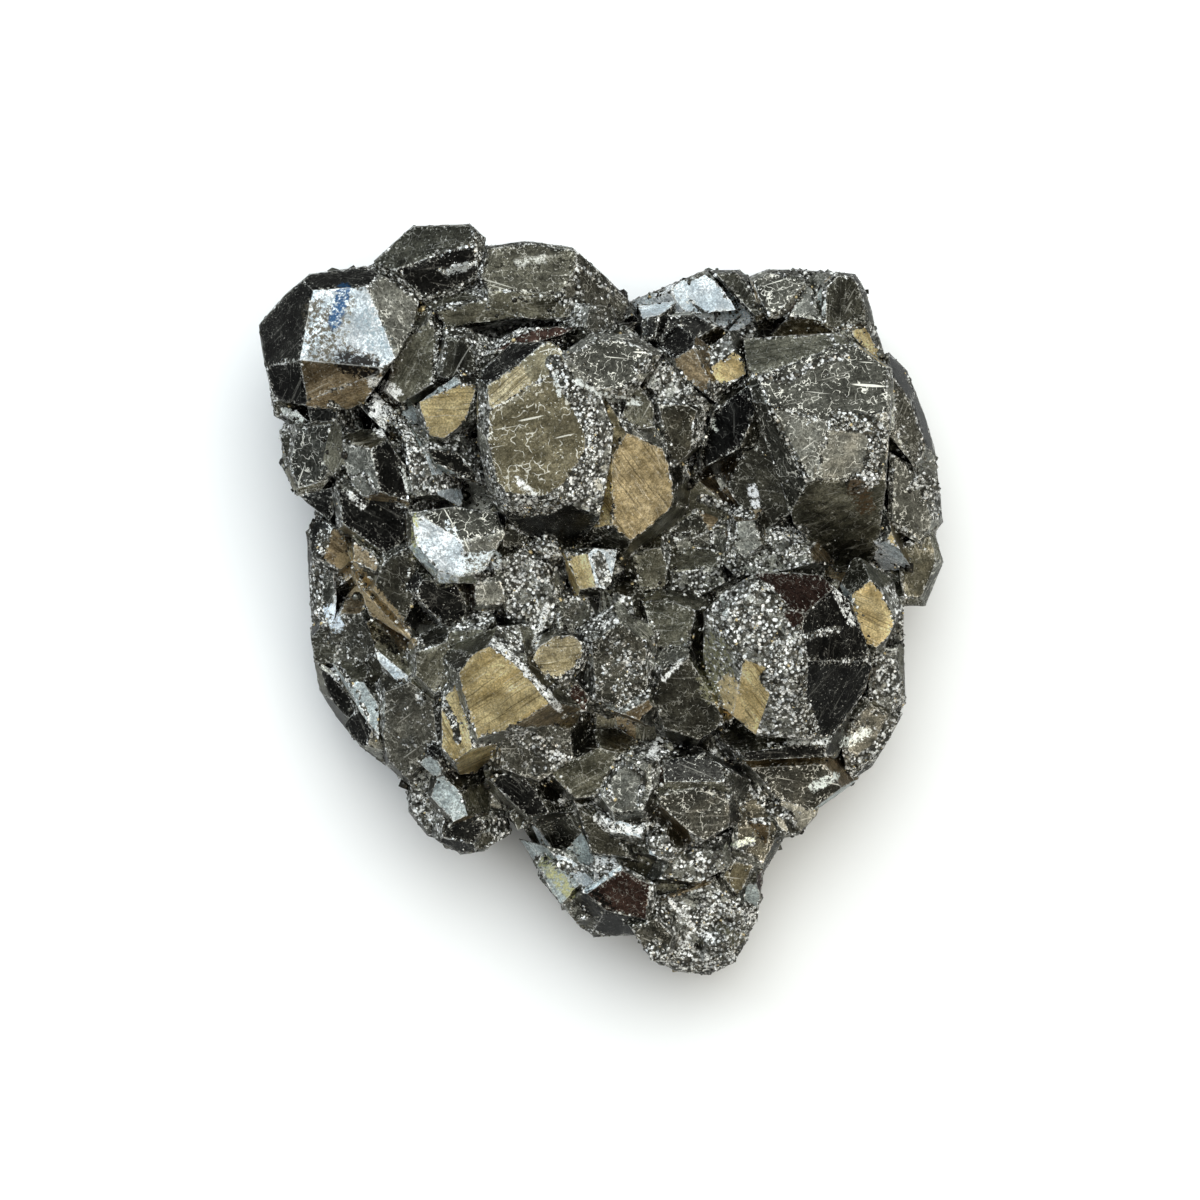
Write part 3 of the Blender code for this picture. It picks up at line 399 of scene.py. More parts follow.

# Stains, and bright marks, the white ones painted glints; where two of them meet the stronger one shows, or
# else the earlier
STAINS: list[Stain] = [
    Stain(((345, 290), (335, 322)), 17, 0.82, (0.02, 0.085, 0.20)),
    Stain(((337, 316), (331, 334)), 10, 0.7, (0.01, 0.03, 0.07)),
    Stain(((318, 312), (324, 352)), 36, 0.72, (0.12, 0.105, 0.075)),
    Stain(((340, 352), (372, 362)), 20, 0.68, (0.10, 0.085, 0.06)),
    Stain(((368, 318), (384, 352)), 30, 0.5, (0.30, 0.38, 0.42)),
    Stain(((348, 300), (338, 345)), 20, 0.62, (0.20, 0.18, 0.13)),
    Stain(((346, 362), (370, 368)), 26, 0.95, (0.015, 0.013, 0.011)),
    Stain(((414, 560), (416, 515)), 9, 0.55, (0.50, 0.50, 0.22)),
    Stain(((545, 862), (570, 893)), 16, 0.75, (0.55, 0.55, 0.30)),
    Stain(((715, 650), (716, 685)), 40, 0.7, (0.36, 0.35, 0.22)),
    Stain(((866, 505), (858, 488)), 24, 0.75, (0.13, 0.088, 0.05)),
    Stain(((727, 684), (735, 713)), 22, 1.0, (0.78, 0.62, 0.33)),
    Stain(((374, 382), (396, 392)), 16, 0.85, WHITE),
    Stain(((378, 398), (382, 430)), 15, 0.85, WHITE),
    Stain(((372, 410), (372, 414)), 9, 0.8, WHITE),
    Stain(((448, 272), (468, 266)), 12, 0.72, (0.55, 0.58, 0.58)),
    Stain(((838, 592), (843, 602), (852, 622)), 11, 0.7, WHITE),
    Stain(((753, 488), (756, 504)), 12, 0.85, (0.95, 0.97, 1.0)),
    Stain(((518, 262), (545, 258)), 9, 0.7, (0.5, 0.5, 0.46)),
    Stain(((425, 568), (440, 583), (470, 578)), 12, 0.5, (0.30, 0.30, 0.22)),
    Stain(((548, 606), (540, 630), (535, 645)), 9, 0.8, WHITE),
    Stain(((493, 641), (517, 661), (560, 709)), 9, 0.8, WHITE),
    Stain(((598, 818), (612, 829), (640, 830)), 12, 0.85, WHITE),
    Stain(((651, 754), (661, 740)), 9, 0.9, WHITE),
    Stain(((664, 680), (683, 660)), 6, 0.85, WHITE),
    Stain(((790, 742), (828, 741)), 8, 0.85, WHITE),
    Stain(((330, 610), (337, 626)), 16, 0.9, (0.80, 0.90, 1.0)),
    Stain(((813, 788), (836, 776)), 11, 0.8, (0.90, 0.95, 0.90)),
    Stain(((846, 744), (866, 732)), 14, 0.75, (0.90, 0.95, 0.90)),
    Stain(((735, 845), (752, 840)), 9, 0.8, (0.90, 0.95, 0.80)),
    Stain(((350, 494), (364, 508)), 8, 0.75, WHITE),
    # Painted shade: dark bands that keep this face dark where it catches the top light
    Stain(((498, 258), (560, 252)), 12, 0.55, (0.035, 0.034, 0.027)),
    Stain(((500, 276), (566, 272)), 10, 0.5, (0.035, 0.034, 0.027)),
    Stain(((345, 562), (374, 600), (408, 640)), 24, 0.9, (0.48, 0.38, 0.23)),
    Stain(((366, 622), (396, 650)), 12, 0.8, (0.02, 0.02, 0.018)),
    Stain(((690, 925), (712, 938)), 9, 0.65, WHITE),
    Stain(((672, 903), (688, 918)), 9, 0.65, WHITE),
    Stain(((716, 905), (736, 914)), 8, 0.6, WHITE),
    Stain(((700, 950), (724, 950)), 12, 0.75, (0.03, 0.03, 0.025)),
    Stain(((660, 928), (673, 942)), 18, 0.75, (0.03, 0.03, 0.025)),
    Stain(((722, 928), (738, 940)), 15, 0.7, (0.09, 0.085, 0.045)),
    Stain(((694, 898), (706, 903)), 12, 0.75, (0.02, 0.02, 0.018)),
    Stain(((678, 936), (708, 960)), 7, 0.75, WHITE),
    Stain(((592, 900), (612, 922)), 30, 0.75, (0.012, 0.012, 0.011)),
    # Painted shade: a wider dark band over the same face
    Stain(((500, 262), (575, 262)), 44, 0.5, (0.022, 0.021, 0.016)),
    Stain(((560, 800), (590, 806), (604, 796)), 7, 0.6, WHITE),
    Stain(((462, 566), (492, 560)), 24, 0.7, (0.80, 0.87, 0.90)),
    Stain(((450, 524), (458, 540)), 12, 0.6, (0.80, 0.87, 0.90)),
    Stain(((556, 372), (560, 395)), 8, 0.7, (0.75, 0.78, 0.75)),
    Stain(((578, 382), (610, 398), (640, 402)), 9, 0.8, (0.75, 0.78, 0.75)),
    Stain(((402, 468), (410, 492)), 8, 0.8, (0.75, 0.78, 0.75)),
    Stain(((516, 478), (535, 496)), 8, 0.8, WHITE),
    Stain(((706, 408), (716, 430)), 8, 0.6, (0.75, 0.78, 0.72)),
]


@dataclass(frozen=True)
class PhotoView:
    """The photograph's view: an eye straight above the cluster, with up in the picture along +Y."""

    mm_per_pixel: float = 0.08
    centre: Pixel = (600.5, 600.0)
    eye_height: float = 450.0
    girdle_height: float = 10.0
    frame_pixels: float = 1200.0
    sensor: float = 36.0

    def pixels(self, points: np.ndarray) -> np.ndarray:
        """Pixels at which points show: their offset from the axis, divided by the size of a pixel there.

        Args:
            points: places, one a row.

        Returns:
            One pixel a row.
        """
        depth = (self.eye_height - points[:, 2]) / (self.eye_height - self.girdle_height)
        offset = points[:, :2] / (self.mm_per_pixel * depth[:, None])
        return np.array(self.centre) + offset * (1.0, -1.0)

    def facing(self, points: np.ndarray, normals: np.ndarray) -> np.ndarray:
        """Cosine between each normal and the line from its point to the eye.

        Args:
            points: places, one a row.
            normals: unit normals, one a row.

        Returns:
            One cosine a row.
        """
        sight = unit(np.array((0.0, 0.0, self.eye_height)) - points)
        return (sight * normals).sum(axis=1)

    def camera(self) -> bpy.types.Object:
        """Makes the camera: its lens is the sensor's width times the distance over the frame's width.

        Returns:
            The camera, set as the scene's.
        """
        distance = self.eye_height - self.girdle_height
        data = bpy.data.cameras.new("photo_camera")
        data.sensor_width = self.sensor
        data.lens = self.sensor * distance / (self.frame_pixels * self.mm_per_pixel)
        data.clip_start = 0.01
        data.clip_end = 10.0
        camera = bpy.data.objects.new("photo_camera", data)
        camera.location = (0.0, 0.0, self.eye_height * MM)
        bpy.context.scene.collection.objects.link(camera)
        bpy.context.scene.camera = camera
        return camera


def unit(rows: np.ndarray) -> np.ndarray:
    """Rows divided by their lengths."""
    return rows / np.maximum(np.linalg.norm(rows, axis=1, keepdims=True), 1e-12)


def eased(value: np.ndarray, low: float, high: float) -> np.ndarray:
    """A smooth step: 0 below low, 1 above high, and three squares less two cubes between.

    Args:
        value: the numbers to ease.
        low: where the step starts.
        high: where it ends.

    Returns:
        Numbers from 0 to 1.
    """
    share = np.clip((value - low) / (high - low), 0.0, 1.0)
    return share * share * (3.0 - 2.0 * share)


def wave_noise(points: np.ndarray, length: float, seed: int, waves: int = 22) -> np.ndarray:
    """Uneven swells: the sum of cosines along random directions, scaled to a spread of about 1.

    Args:
        points: places, one a row.
        length: mean wavelength of the swells.
        seed: seed of the random directions.
        waves: number of cosines.

    Returns:
        One number a row, with mean 0.
    """
    source = np.random.default_rng(seed)
    directions = unit(source.normal(size=(waves, 3)))
    directions *= (2.0 * math.pi / (length * source.uniform(0.6, 1.6, waves)))[:, None]
    turns = source.uniform(0.0, 2.0 * math.pi, waves)
    return np.cos(points @ directions.T + turns).sum(axis=1) * math.sqrt(2.0 / waves)


def face_normals(points: np.ndarray, faces: np.ndarray) -> tuple[np.ndarray, np.ndarray]:
    """Unit normals and areas of triangles, from the cross product of two sides.

    Args:
        points: corner places.
        faces: three point numbers a row.

    Returns:
        Normals, and areas.
    """
    a, b, c = (points[faces[:, k]] for k in range(3))
    cross = np.cross(b - a, c - a)
    length = np.linalg.norm(cross, axis=1)
    return cross / np.maximum(length, 1e-15)[:, None], length / 2.0


@dataclass
class Net:
    """A closed net of triangles, each with the number of the crystal face that it lies in."""

    points: np.ndarray
    faces: np.ndarray
    owner: np.ndarray

    def edges(self) -> tuple[np.ndarray, np.ndarray]:
        """The net's edges.

        Returns:
            The two points of each edge, and for each triangle the numbers of its three edges.
        """
        sides = np.sort(self.faces[:, [[0, 1], [1, 2], [2, 0]]].reshape(-1, 2), axis=1).astype(np.int64)
        keys = sides[:, 0] * len(self.points) + sides[:, 1]
        _, first, of_side = np.unique(keys, return_index=True, return_inverse=True)
        return sides[first], of_side.reshape(-1, 3)

    def faces_by_edge(self) -> tuple[np.ndarray, np.ndarray]:
        """The two triangles that meet at each edge of a closed net.

        Returns:
            The two points of each edge, and the two triangles at it.
        """
        ends, of_side = self.edges()
        order = np.argsort(of_side.ravel(), kind="stable")
        return ends, (order // 3).reshape(-1, 2)

    def halved(self, limit: np.ndarray, rounds: int = 12) -> Net:
        """Cuts each edge that is too long at its middle, round after round, and each triangle to fit.

        A triangle with one cut edge becomes two, with two cut edges three, and with three cut edges four.

        Args:
            limit: greatest edge length for each crystal face.
            rounds: most rounds of cutting.

        Returns:
            The finer net.
        """
        net = self
        for _ in range(rounds):
            ends, of_side = net.edges()
            length = np.linalg.norm(net.points[ends[:, 0]] - net.points[ends[:, 1]], axis=1)
            allowed = np.full(len(ends), np.inf)
            np.minimum.at(allowed, of_side.ravel(), np.repeat(limit[net.owner], 3))
            cut = length > allowed
            if not cut.any():
                break
            middle = np.full(len(ends), -1)
            middle[cut] = len(net.points) + np.arange(cut.sum())
            points = np.vstack([net.points, net.points[ends[cut]].mean(axis=1)])
            net = net.cut_at(points, middle[of_side])
        return net

    def cut_at(self, points: np.ndarray, middles: np.ndarray) -> Net:
        """The net with each triangle cut at the middles of its sides.

        Args:
            points: the old points and then the middles.
            middles: point number at the middle of each triangle's sides, or -1.

        Returns:
            The finer net.
        """
        marked = middles >= 0
        count = marked.sum(axis=1)
        pieces = [self.faces[count == 0]]
        owners = [self.owner[count == 0]]

        def turned(rows: np.ndarray, start: np.ndarray) -> tuple[np.ndarray, np.ndarray]:
            """Corners and middles of some triangles, each counted from its own starting corner."""
            places = (start[:, None] + np.arange(3)) % 3
            return (np.take_along_axis(self.faces[rows], places, 1),
                    np.take_along_axis(middles[rows], places, 1))

        rows = np.flatnonzero(count == 1)
        corner, middle = turned(rows, marked[rows].argmax(axis=1))
        pieces += [np.stack([corner[:, 0], middle[:, 0], corner[:, 2]], axis=1),
                   np.stack([middle[:, 0], corner[:, 1], corner[:, 2]], axis=1)]
        owners += [self.owner[rows]] * 2

        rows = np.flatnonzero(count == 2)
        corner, middle = turned(rows, (marked[rows].argmin(axis=1) + 1) % 3)
        first = np.linalg.norm(points[corner[:, 0]] - points[middle[:, 1]], axis=1)
        second = np.linalg.norm(points[middle[:, 0]] - points[corner[:, 2]], axis=1)
        near = first < second
        tail = np.where(near, corner[:, 0], middle[:, 0])
        head = np.where(near, middle[:, 1], corner[:, 2])
        pieces += [np.stack([middle[:, 0], corner[:, 1], middle[:, 1]], axis=1),
                   np.stack([corner[:, 0], middle[:, 0], head], axis=1),
                   np.stack([tail, middle[:, 1], corner[:, 2]], axis=1)]
        owners += [self.owner[rows]] * 3

        rows = np.flatnonzero(count == 3)
        corner, middle = self.faces[rows], middles[rows]
        pieces += [np.stack([corner[:, 0], middle[:, 0], middle[:, 2]], axis=1),
                   np.stack([corner[:, 1], middle[:, 1], middle[:, 0]], axis=1),
                   np.stack([corner[:, 2], middle[:, 2], middle[:, 1]], axis=1), middle]
        owners += [self.owner[rows]] * 4
        return Net(points, np.vstack(pieces), np.concatenate(owners))


def crept(sources: np.ndarray, net_edges: np.ndarray, length: np.ndarray, reach: float) -> np.ndarray:
    """Distance of each point from the nearest source, measured along the edges of the net.

    Args:
        sources: True at the points that lie at distance 0.
        net_edges: the two points of each edge.
        length: length of each edge.
        reach: distance past which nothing is measured.

    Returns:
        One distance a point, at most reach.
    """
    distance = np.where(sources, 0.0, reach)
    first, second = net_edges.T
    while True:
        before = distance.copy()
        np.minimum.at(distance, first, before[second] + length)
        np.minimum.at(distance, second, before[first] + length)
        if np.allclose(before, distance):
            return distance


def band_strength(pixels: np.ndarray, bands: Sequence[GrainBand]) -> np.ndarray:
    """How thickly grains lie at each pixel: 1 on a band's middle line, falling to 0 past its half width.

    Args:
        pixels: one pixel a row.
        bands: the bands of grains.

    Returns:
        One strength a row, from 0 to 1.
    """
    strength = np.zeros(len(pixels))
    for band in bands:
        for start, end in zip(band.path[:-1], band.path[1:]):
            along = np.array(end) - np.array(start)
            share = np.clip((pixels - start) @ along / (along @ along), 0.0, 1.0)
            gap = np.linalg.norm(pixels - start - share[:, None] * along, axis=1)
            inside = 1.0 - eased(gap, BAND_CORE * band.width, BAND_RIM * band.width)
            strength = np.maximum(strength, band.strength * inside)
    return strength


def mesh_object(name: str, points: np.ndarray, faces: np.ndarray) -> bpy.types.Object:
    """Writes points, in millimetres, and triangles into a new mesh object at the origin.

    Args:
        name: the object's name.
        points: corner places.
        faces: three point numbers a row.

    Returns:
        The object, linked to the scene.
    """
    mesh = bpy.data.meshes.new(name)
    mesh.vertices.add(len(points))
    mesh.vertices.foreach_set("co", (points * MM).astype(np.float32).ravel())
    mesh.loops.add(faces.size)
    mesh.loops.foreach_set("vertex_index", faces.astype(np.int32).ravel())
    mesh.polygons.add(len(faces))
    mesh.polygons.foreach_set("loop_start", np.arange(0, faces.size, 3, dtype=np.int32))
    mesh.update(calc_edges=True)
    mesh.validate()
    piece = bpy.data.objects.new(name, mesh)
    bpy.context.scene.collection.objects.link(piece)
    return piece


def store(piece: bpy.types.Object, name: str, domain: str, values: np.ndarray) -> None:
    """Keeps numbers or vectors on a mesh under a name, for its materials to read.

    Args:
        piece: the mesh object.
        name: name of the attribute.
        domain: POINT, FACE or CORNER.
        values: one number or vector for each of them.
    """
    kind, key = ("FLOAT", "value") if values.ndim == 1 else ("FLOAT_VECTOR", "vector")
    attribute = piece.data.attributes.new(name, kind, domain)
    attribute.data.foreach_set(key, values.astype(np.float32).ravel())


# A Mix node's sockets for each kind of value: its first and second input, and its output
MIX_SOCKETS: dict[str, tuple[int, int, int]] = {"RGBA": (6, 7, 2), "FLOAT": (2, 3, 0), "VECTOR": (4, 5, 1)}


class Wiring:
    """Short ways to add and join the nodes of one shader tree."""

    def __init__(self, tree: bpy.types.NodeTree) -> None:
        """Keeps the tree."""
        self.tree = tree

    def join(self, value: object, socket: bpy.types.NodeSocket) -> None:
        """Links a socket to another, or sets its value."""
        if isinstance(value, bpy.types.NodeSocket):
            self.tree.links.new(value, socket)
        else:
            socket.default_value = value

    def node(self, kind: str, settings: dict | None = None, **inputs: object) -> bpy.types.Node:
        """Adds a node.

        Args:
            kind: the node's type, without the words ShaderNode.
            settings: the node's own settings.
            inputs: value or socket for each named input, with _ for a space.

        Returns:
            The node.
        """
        made = self.tree.nodes.new("ShaderNode" + kind)
        for name, value in (settings or {}).items():
            setattr(made, name, value)
        for name, value in inputs.items():
            self.join(value, made.inputs[name.replace("_", " ")])
        return made

    def math(self, operation: str, *values: object, clamp: bool = False) -> bpy.types.NodeSocket:
        """Adds a Math node.

        Args:
            operation: what it works out.
            values: its inputs, each a number or a socket.
            clamp: whether the result is kept from 0 to 1.

        Returns:
            The result.
        """
        made = self.node("Math", {"operation": operation, "use_clamp": clamp})
        for value, socket in zip(values, made.inputs):
            self.join(value, socket)
        return made.outputs[0]

    def vector(self, operation: str, *values: object) -> bpy.types.NodeSocket:
        """Adds a Vector Math node.

        Args:
            operation: what it works out.
            values: its inputs, each a vector or a socket; for SCALE the last is a number.

        Returns:
            The resulting vector.
        """
        made = self.node("VectorMath", {"operation": operation})
        sockets = [made.inputs[0], made.inputs["Scale"]] if operation == "SCALE" else made.inputs
        for value, socket in zip(values, sockets):
            self.join(value, socket)
        return made.outputs[0]

    def times(self, first: object, second: object) -> bpy.types.NodeSocket:
        """The product of two numbers."""
        return self.math("MULTIPLY", first, second)

    def less(self, first: object, second: object) -> bpy.types.NodeSocket:
        """The first number less the second."""
        return self.math("SUBTRACT", first, second)

    def line(self, value: object, factor: float, start: object) -> bpy.types.NodeSocket:
        """A value times a factor, plus a start."""
        return self.math("ADD", self.times(value, factor), start)

    def varied(self, value: object, noise: object, amount: float, clamp: bool = True) -> bpy.types.NodeSocket:
        """A value plus an amount of the noise, counted from the noise's middle of one half."""
        return self.math("ADD", value, self.times(self.less(noise, 0.5), amount), clamp=clamp)

    def scaled(self, vector: object, factor: object) -> bpy.types.NodeSocket:
        """A vector or colour times a number."""
        return self.vector("SCALE", vector, factor)

    def step(self, value: object, low: object, high: object, start: float = 0.0,
             end: float = 1.0) -> bpy.types.NodeSocket:
        """A smooth step, as a Map Range node makes it.

        Args:
            value: what the step runs on.
            low: where it starts.
            high: where it ends.
            start: the result at its start.
            end: the result at its end.

        Returns:
            The result.
        """
        made = self.node("MapRange", {"interpolation_type": "SMOOTHSTEP"}, Value=value)
        for name, number in (("From Min", low), ("From Max", high), ("To Min", start), ("To Max", end)):
            self.join(number, made.inputs[name])
        return made.outputs["Result"]

    def blend(self, share: object, first: object, second: object, kind: str = "RGBA") -> bpy.types.NodeSocket:
        """Mixes two colours, numbers or vectors.

        Args:
            share: share of the second, 0 to 1.
            first: what shows at 0, a socket, a number or a colour.
            second: what shows at 1.
            kind: RGBA for colours, FLOAT for numbers, VECTOR for vectors.

        Returns:
            The mixture.
        """
        made = self.node("Mix", {"data_type": kind})
        low, high, result = MIX_SOCKETS[kind]
        for value, number in ((share, 0), (first, low), (second, high)):
            self.join((*value, 1.0) if isinstance(value, tuple) else value, made.inputs[number])
        return made.outputs[result]

    def noise(self, place: object, detail: float = 2.0, roughness: float = 0.5) -> bpy.types.NodeSocket:
        """Noise with a wavelength of 1 at a place."""
        made = self.node("TexNoise", Vector=place, Scale=1.0, Detail=detail, Roughness=roughness)
        return made.outputs["Fac"]

    def attribute(self, name: str, output: str = "Fac") -> bpy.types.NodeSocket:
        """What the mesh keeps under a name."""
        return self.node("Attribute", {"attribute_name": name}).outputs[output]

    def millimetres(self) -> bpy.types.NodeSocket:
        """Place on the object, in millimetres."""
        return self.scaled(self.node("TexCoord").outputs["Object"], 1.0 / MM)

    def shade(self, **inputs: object) -> None:
        """Ends a material in a Principled shader with these inputs."""
        shader = self.node("BsdfPrincipled", **inputs)
        self.node("OutputMaterial", Surface=shader.outputs[0])


def new_material(name: str) -> tuple[bpy.types.Material, Wiring]:
    """Makes an empty material.

    Args:
        name: its name.

    Returns:
        The material, and the wiring of its nodes.
    """
    made = bpy.data.materials.new(name)
    made.use_nodes = True
    made.node_tree.nodes.clear()
    return made, Wiring(made.node_tree)


class NodeGroup:
    """A shader node group with named inputs and outputs, filled in by a subclass."""

    name = ""
    inputs: tuple[tuple[str, str], ...] = ()
    outputs: tuple[tuple[str, str], ...] = ()

    def __init__(self) -> None:
        """Makes the group, its sockets and its nodes."""
        self.tree = bpy.data.node_groups.new(self.name, "ShaderNodeTree")
        for in_out, sockets in (("INPUT", self.inputs), ("OUTPUT", self.outputs)):
            for name, kind in sockets:
                self.tree.interface.new_socket(name, in_out=in_out, socket_type="NodeSocket" + kind)
        given = self.tree.nodes.new("NodeGroupInput").outputs
        wanted = self.tree.nodes.new("NodeGroupOutput").inputs
        wiring = Wiring(self.tree)
        for name, value in self.results(wiring, given).items():
            wiring.join(value, wanted[name])

    def results(self, w: Wiring, given: object) -> dict[str, object]:
        """Builds the group's nodes; a subclass does it.

        Args:
            w: wiring of the group's tree.
            given: the group's inputs, by name.

        Returns:
            A socket for each output.
        """
        raise NotImplementedError

    def placed(self, w: Wiring, **inputs: object) -> bpy.types.Node:
        """Places the group in a tree.

        Args:
            w: wiring of that tree.
            inputs: value or socket for each of the group's inputs.

        Returns:
            The group's node.
        """
        made = w.node("Group", {"node_tree": self.tree})
        for name, value in inputs.items():
            w.join(value, made.inputs[name])
        return made


class Streaks(NodeGroup):
    """Growth streaks: noise squeezed across the streaks and drawn out along them."""

    name = "growth_streaks"
    inputs = (("Axes", "Vector"), ("Pitch", "Float"))
    outputs = (("Height", "Float"), ("Line", "Float"), ("Glint", "Float"), ("Band", "Float"))

    def results(self, w: Wiring, given: object) -> dict[str, object]:
        """Fine lines, painted shade where they are deepest, painted glints where they are shallowest, and
        broad bands; see NodeGroup.
        """
        apart = w.node("SeparateXYZ", Vector=given["Axes"]).outputs
        bend = w.noise(w.scaled(given["Axes"], 0.5))
        across = w.math("ADD", apart["X"], w.times(bend, 0.35))
        lines = w.node("CombineXYZ", X=w.math("DIVIDE", across, given["Pitch"]),
                       Y=w.times(apart["Y"], 0.22), Z=apart["Z"]).outputs[0]
        height = w.noise(lines, 2.0, 0.6)
        bands = w.noise(w.scaled(lines, 0.23), 1.0)
        return {"Height": height, "Line": w.step(height, 0.54, 0.68), "Glint": w.step(height, 0.38, 0.28),
                "Band": w.step(bands, 0.35, 0.65)}


class Grains(NodeGroup):
    """Sparkling grains: cells that each tip the surface their own way, with painted shade in the gaps between
    them.
    """

    name = "sparkling_grains"
    inputs = (("Place", "Vector"), ("Size", "Float"), ("Normal", "Vector"), ("Tilt", "Float"))
    outputs = (("Normal", "Vector"), ("Tone", "Float"), ("Gap", "Float"))

    def results(self, w: Wiring, given: object) -> dict[str, object]:
        """Cell by cell, the normal plus a random vector, a random tone, brighter in clouds a millimetre
        wide, and the gap, where shade is painted; see NodeGroup."""
        place = w.vector("DIVIDE", given["Place"], w.node(
            "CombineXYZ", X=given["Size"], Y=given["Size"], Z=given["Size"]).outputs[0])
        cells = w.node("TexVoronoi", {"feature": "F1"}, Vector=place, Scale=1.0, Randomness=1.0).outputs
        tip = w.vector("SUBTRACT", cells["Color"], (0.5, 0.5, 0.5))
        leaning = w.vector("ADD", given["Normal"], w.scaled(tip, given["Tilt"]))
        tone = w.node("TexWhiteNoise", {"noise_dimensions": "3D"}, Vector=cells["Color"]).outputs["Value"]
        cloud = w.noise(w.scaled(given["Place"], 1.5), 3.0, 0.7)
        return {"Normal": w.vector("NORMALIZE", leaning), "Tone": w.varied(tone, cloud, 2.4),
                "Gap": w.step(cells["Distance"], 0.48, 0.74)}


class Veins(NodeGroup):
    """Pale hairlines: the borders of strongly bent cells, broken up, with a few straight scratches."""

    name = "pale_hairlines"
    inputs = (("Place", "Vector"), ("Axes", "Vector"), ("Scale", "Float"), ("Width", "Float"))
    outputs = (("Line", "Float"),)

    def results(self, w: Wiring, given: object) -> dict[str, object]:
        """The brighter of the bent lines and the scratches; see NodeGroup."""
        bend = w.node("TexNoise", Vector=given["Place"], Scale=0.9, Detail=2.0).outputs["Color"]
        bent = w.vector("ADD", given["Place"], w.scaled(bend, 3.0))
        border = w.node("TexVoronoi", {"feature": "DISTANCE_TO_EDGE"}, Vector=bent,
                        Scale=given["Scale"]).outputs[0]
        thin = w.step(border, given["Width"], w.times(given["Width"], 0.3))
        broken = w.step(w.noise(w.scaled(given["Place"], 1.3)), 0.44, 0.56)
        apart = w.node("SeparateXYZ", Vector=given["Axes"]).outputs
        skew = w.math("ADD", w.times(apart["X"], 4.0), w.times(apart["Y"], 1.7))
        scratch = w.node("CombineXYZ", X=skew, Y=w.times(apart["Y"], 0.25), Z=apart["Z"])
        scratches = w.step(w.noise(scratch.outputs[0], 1.0), 0.70, 0.76)
        return {"Line": w.math("MAXIMUM", w.times(thin, broken), scratches)}


class Mottle(NodeGroup):
    """Mottling of a face: slow and quick changes of tone, bright flecks of painted highlight, most of them
    near ridges, dark patches, and dark spots of painted shade for pits, which have no hollow."""

    name = "mottled_tone"
    inputs = (("Place", "Vector"), ("Near", "Float"))
    outputs = (("Tone", "Float"), ("Cloud", "Float"), ("Fine", "Float"), ("Patch", "Float"),
               ("Speck", "Float"), ("Pit", "Float"))

    def results(self, w: Wiring, given: object) -> dict[str, object]:
        """Tone and clouds over 1 to 3 millimetres, and the rest over one or two tenths; see NodeGroup."""
        tone = w.noise(w.scaled(given["Place"], 0.7), 5.0, 0.65)
        cloud = w.noise(w.vector("ADD", w.scaled(given["Place"], 0.33), (7.0, 3.0, 1.0)), 3.0, 0.6)
        fine = w.noise(w.scaled(given["Place"], 7.0), 3.0, 0.6)
        patch = w.noise(w.scaled(given["Place"], 3.4), 4.0, 0.75)
        specks = w.noise(w.scaled(given["Place"], 4.6), 2.0, 0.7)
        least = w.less(0.67, w.times(given["Near"], 0.10))
        least = w.less(least, w.times(w.step(cloud, 0.45, 0.6), 0.03))
        return {"Tone": w.step(tone, 0.32, 0.68), "Cloud": w.step(cloud, 0.3, 0.7), "Fine": fine,
                "Patch": w.step(patch, 0.53, 0.43),
                "Speck": w.step(specks, least, w.math("ADD", least, 0.05)),
                "Pit": w.step(specks, 0.33, 0.28)}


@dataclass
class Effects:
    """The node groups that the finishes share, each built once."""

    streaks: Streaks = field(default_factory=Streaks)
    grains: Grains = field(default_factory=Grains)
    veins: Veins = field(default_factory=Veins)
    mottle: Mottle = field(default_factory=Mottle)


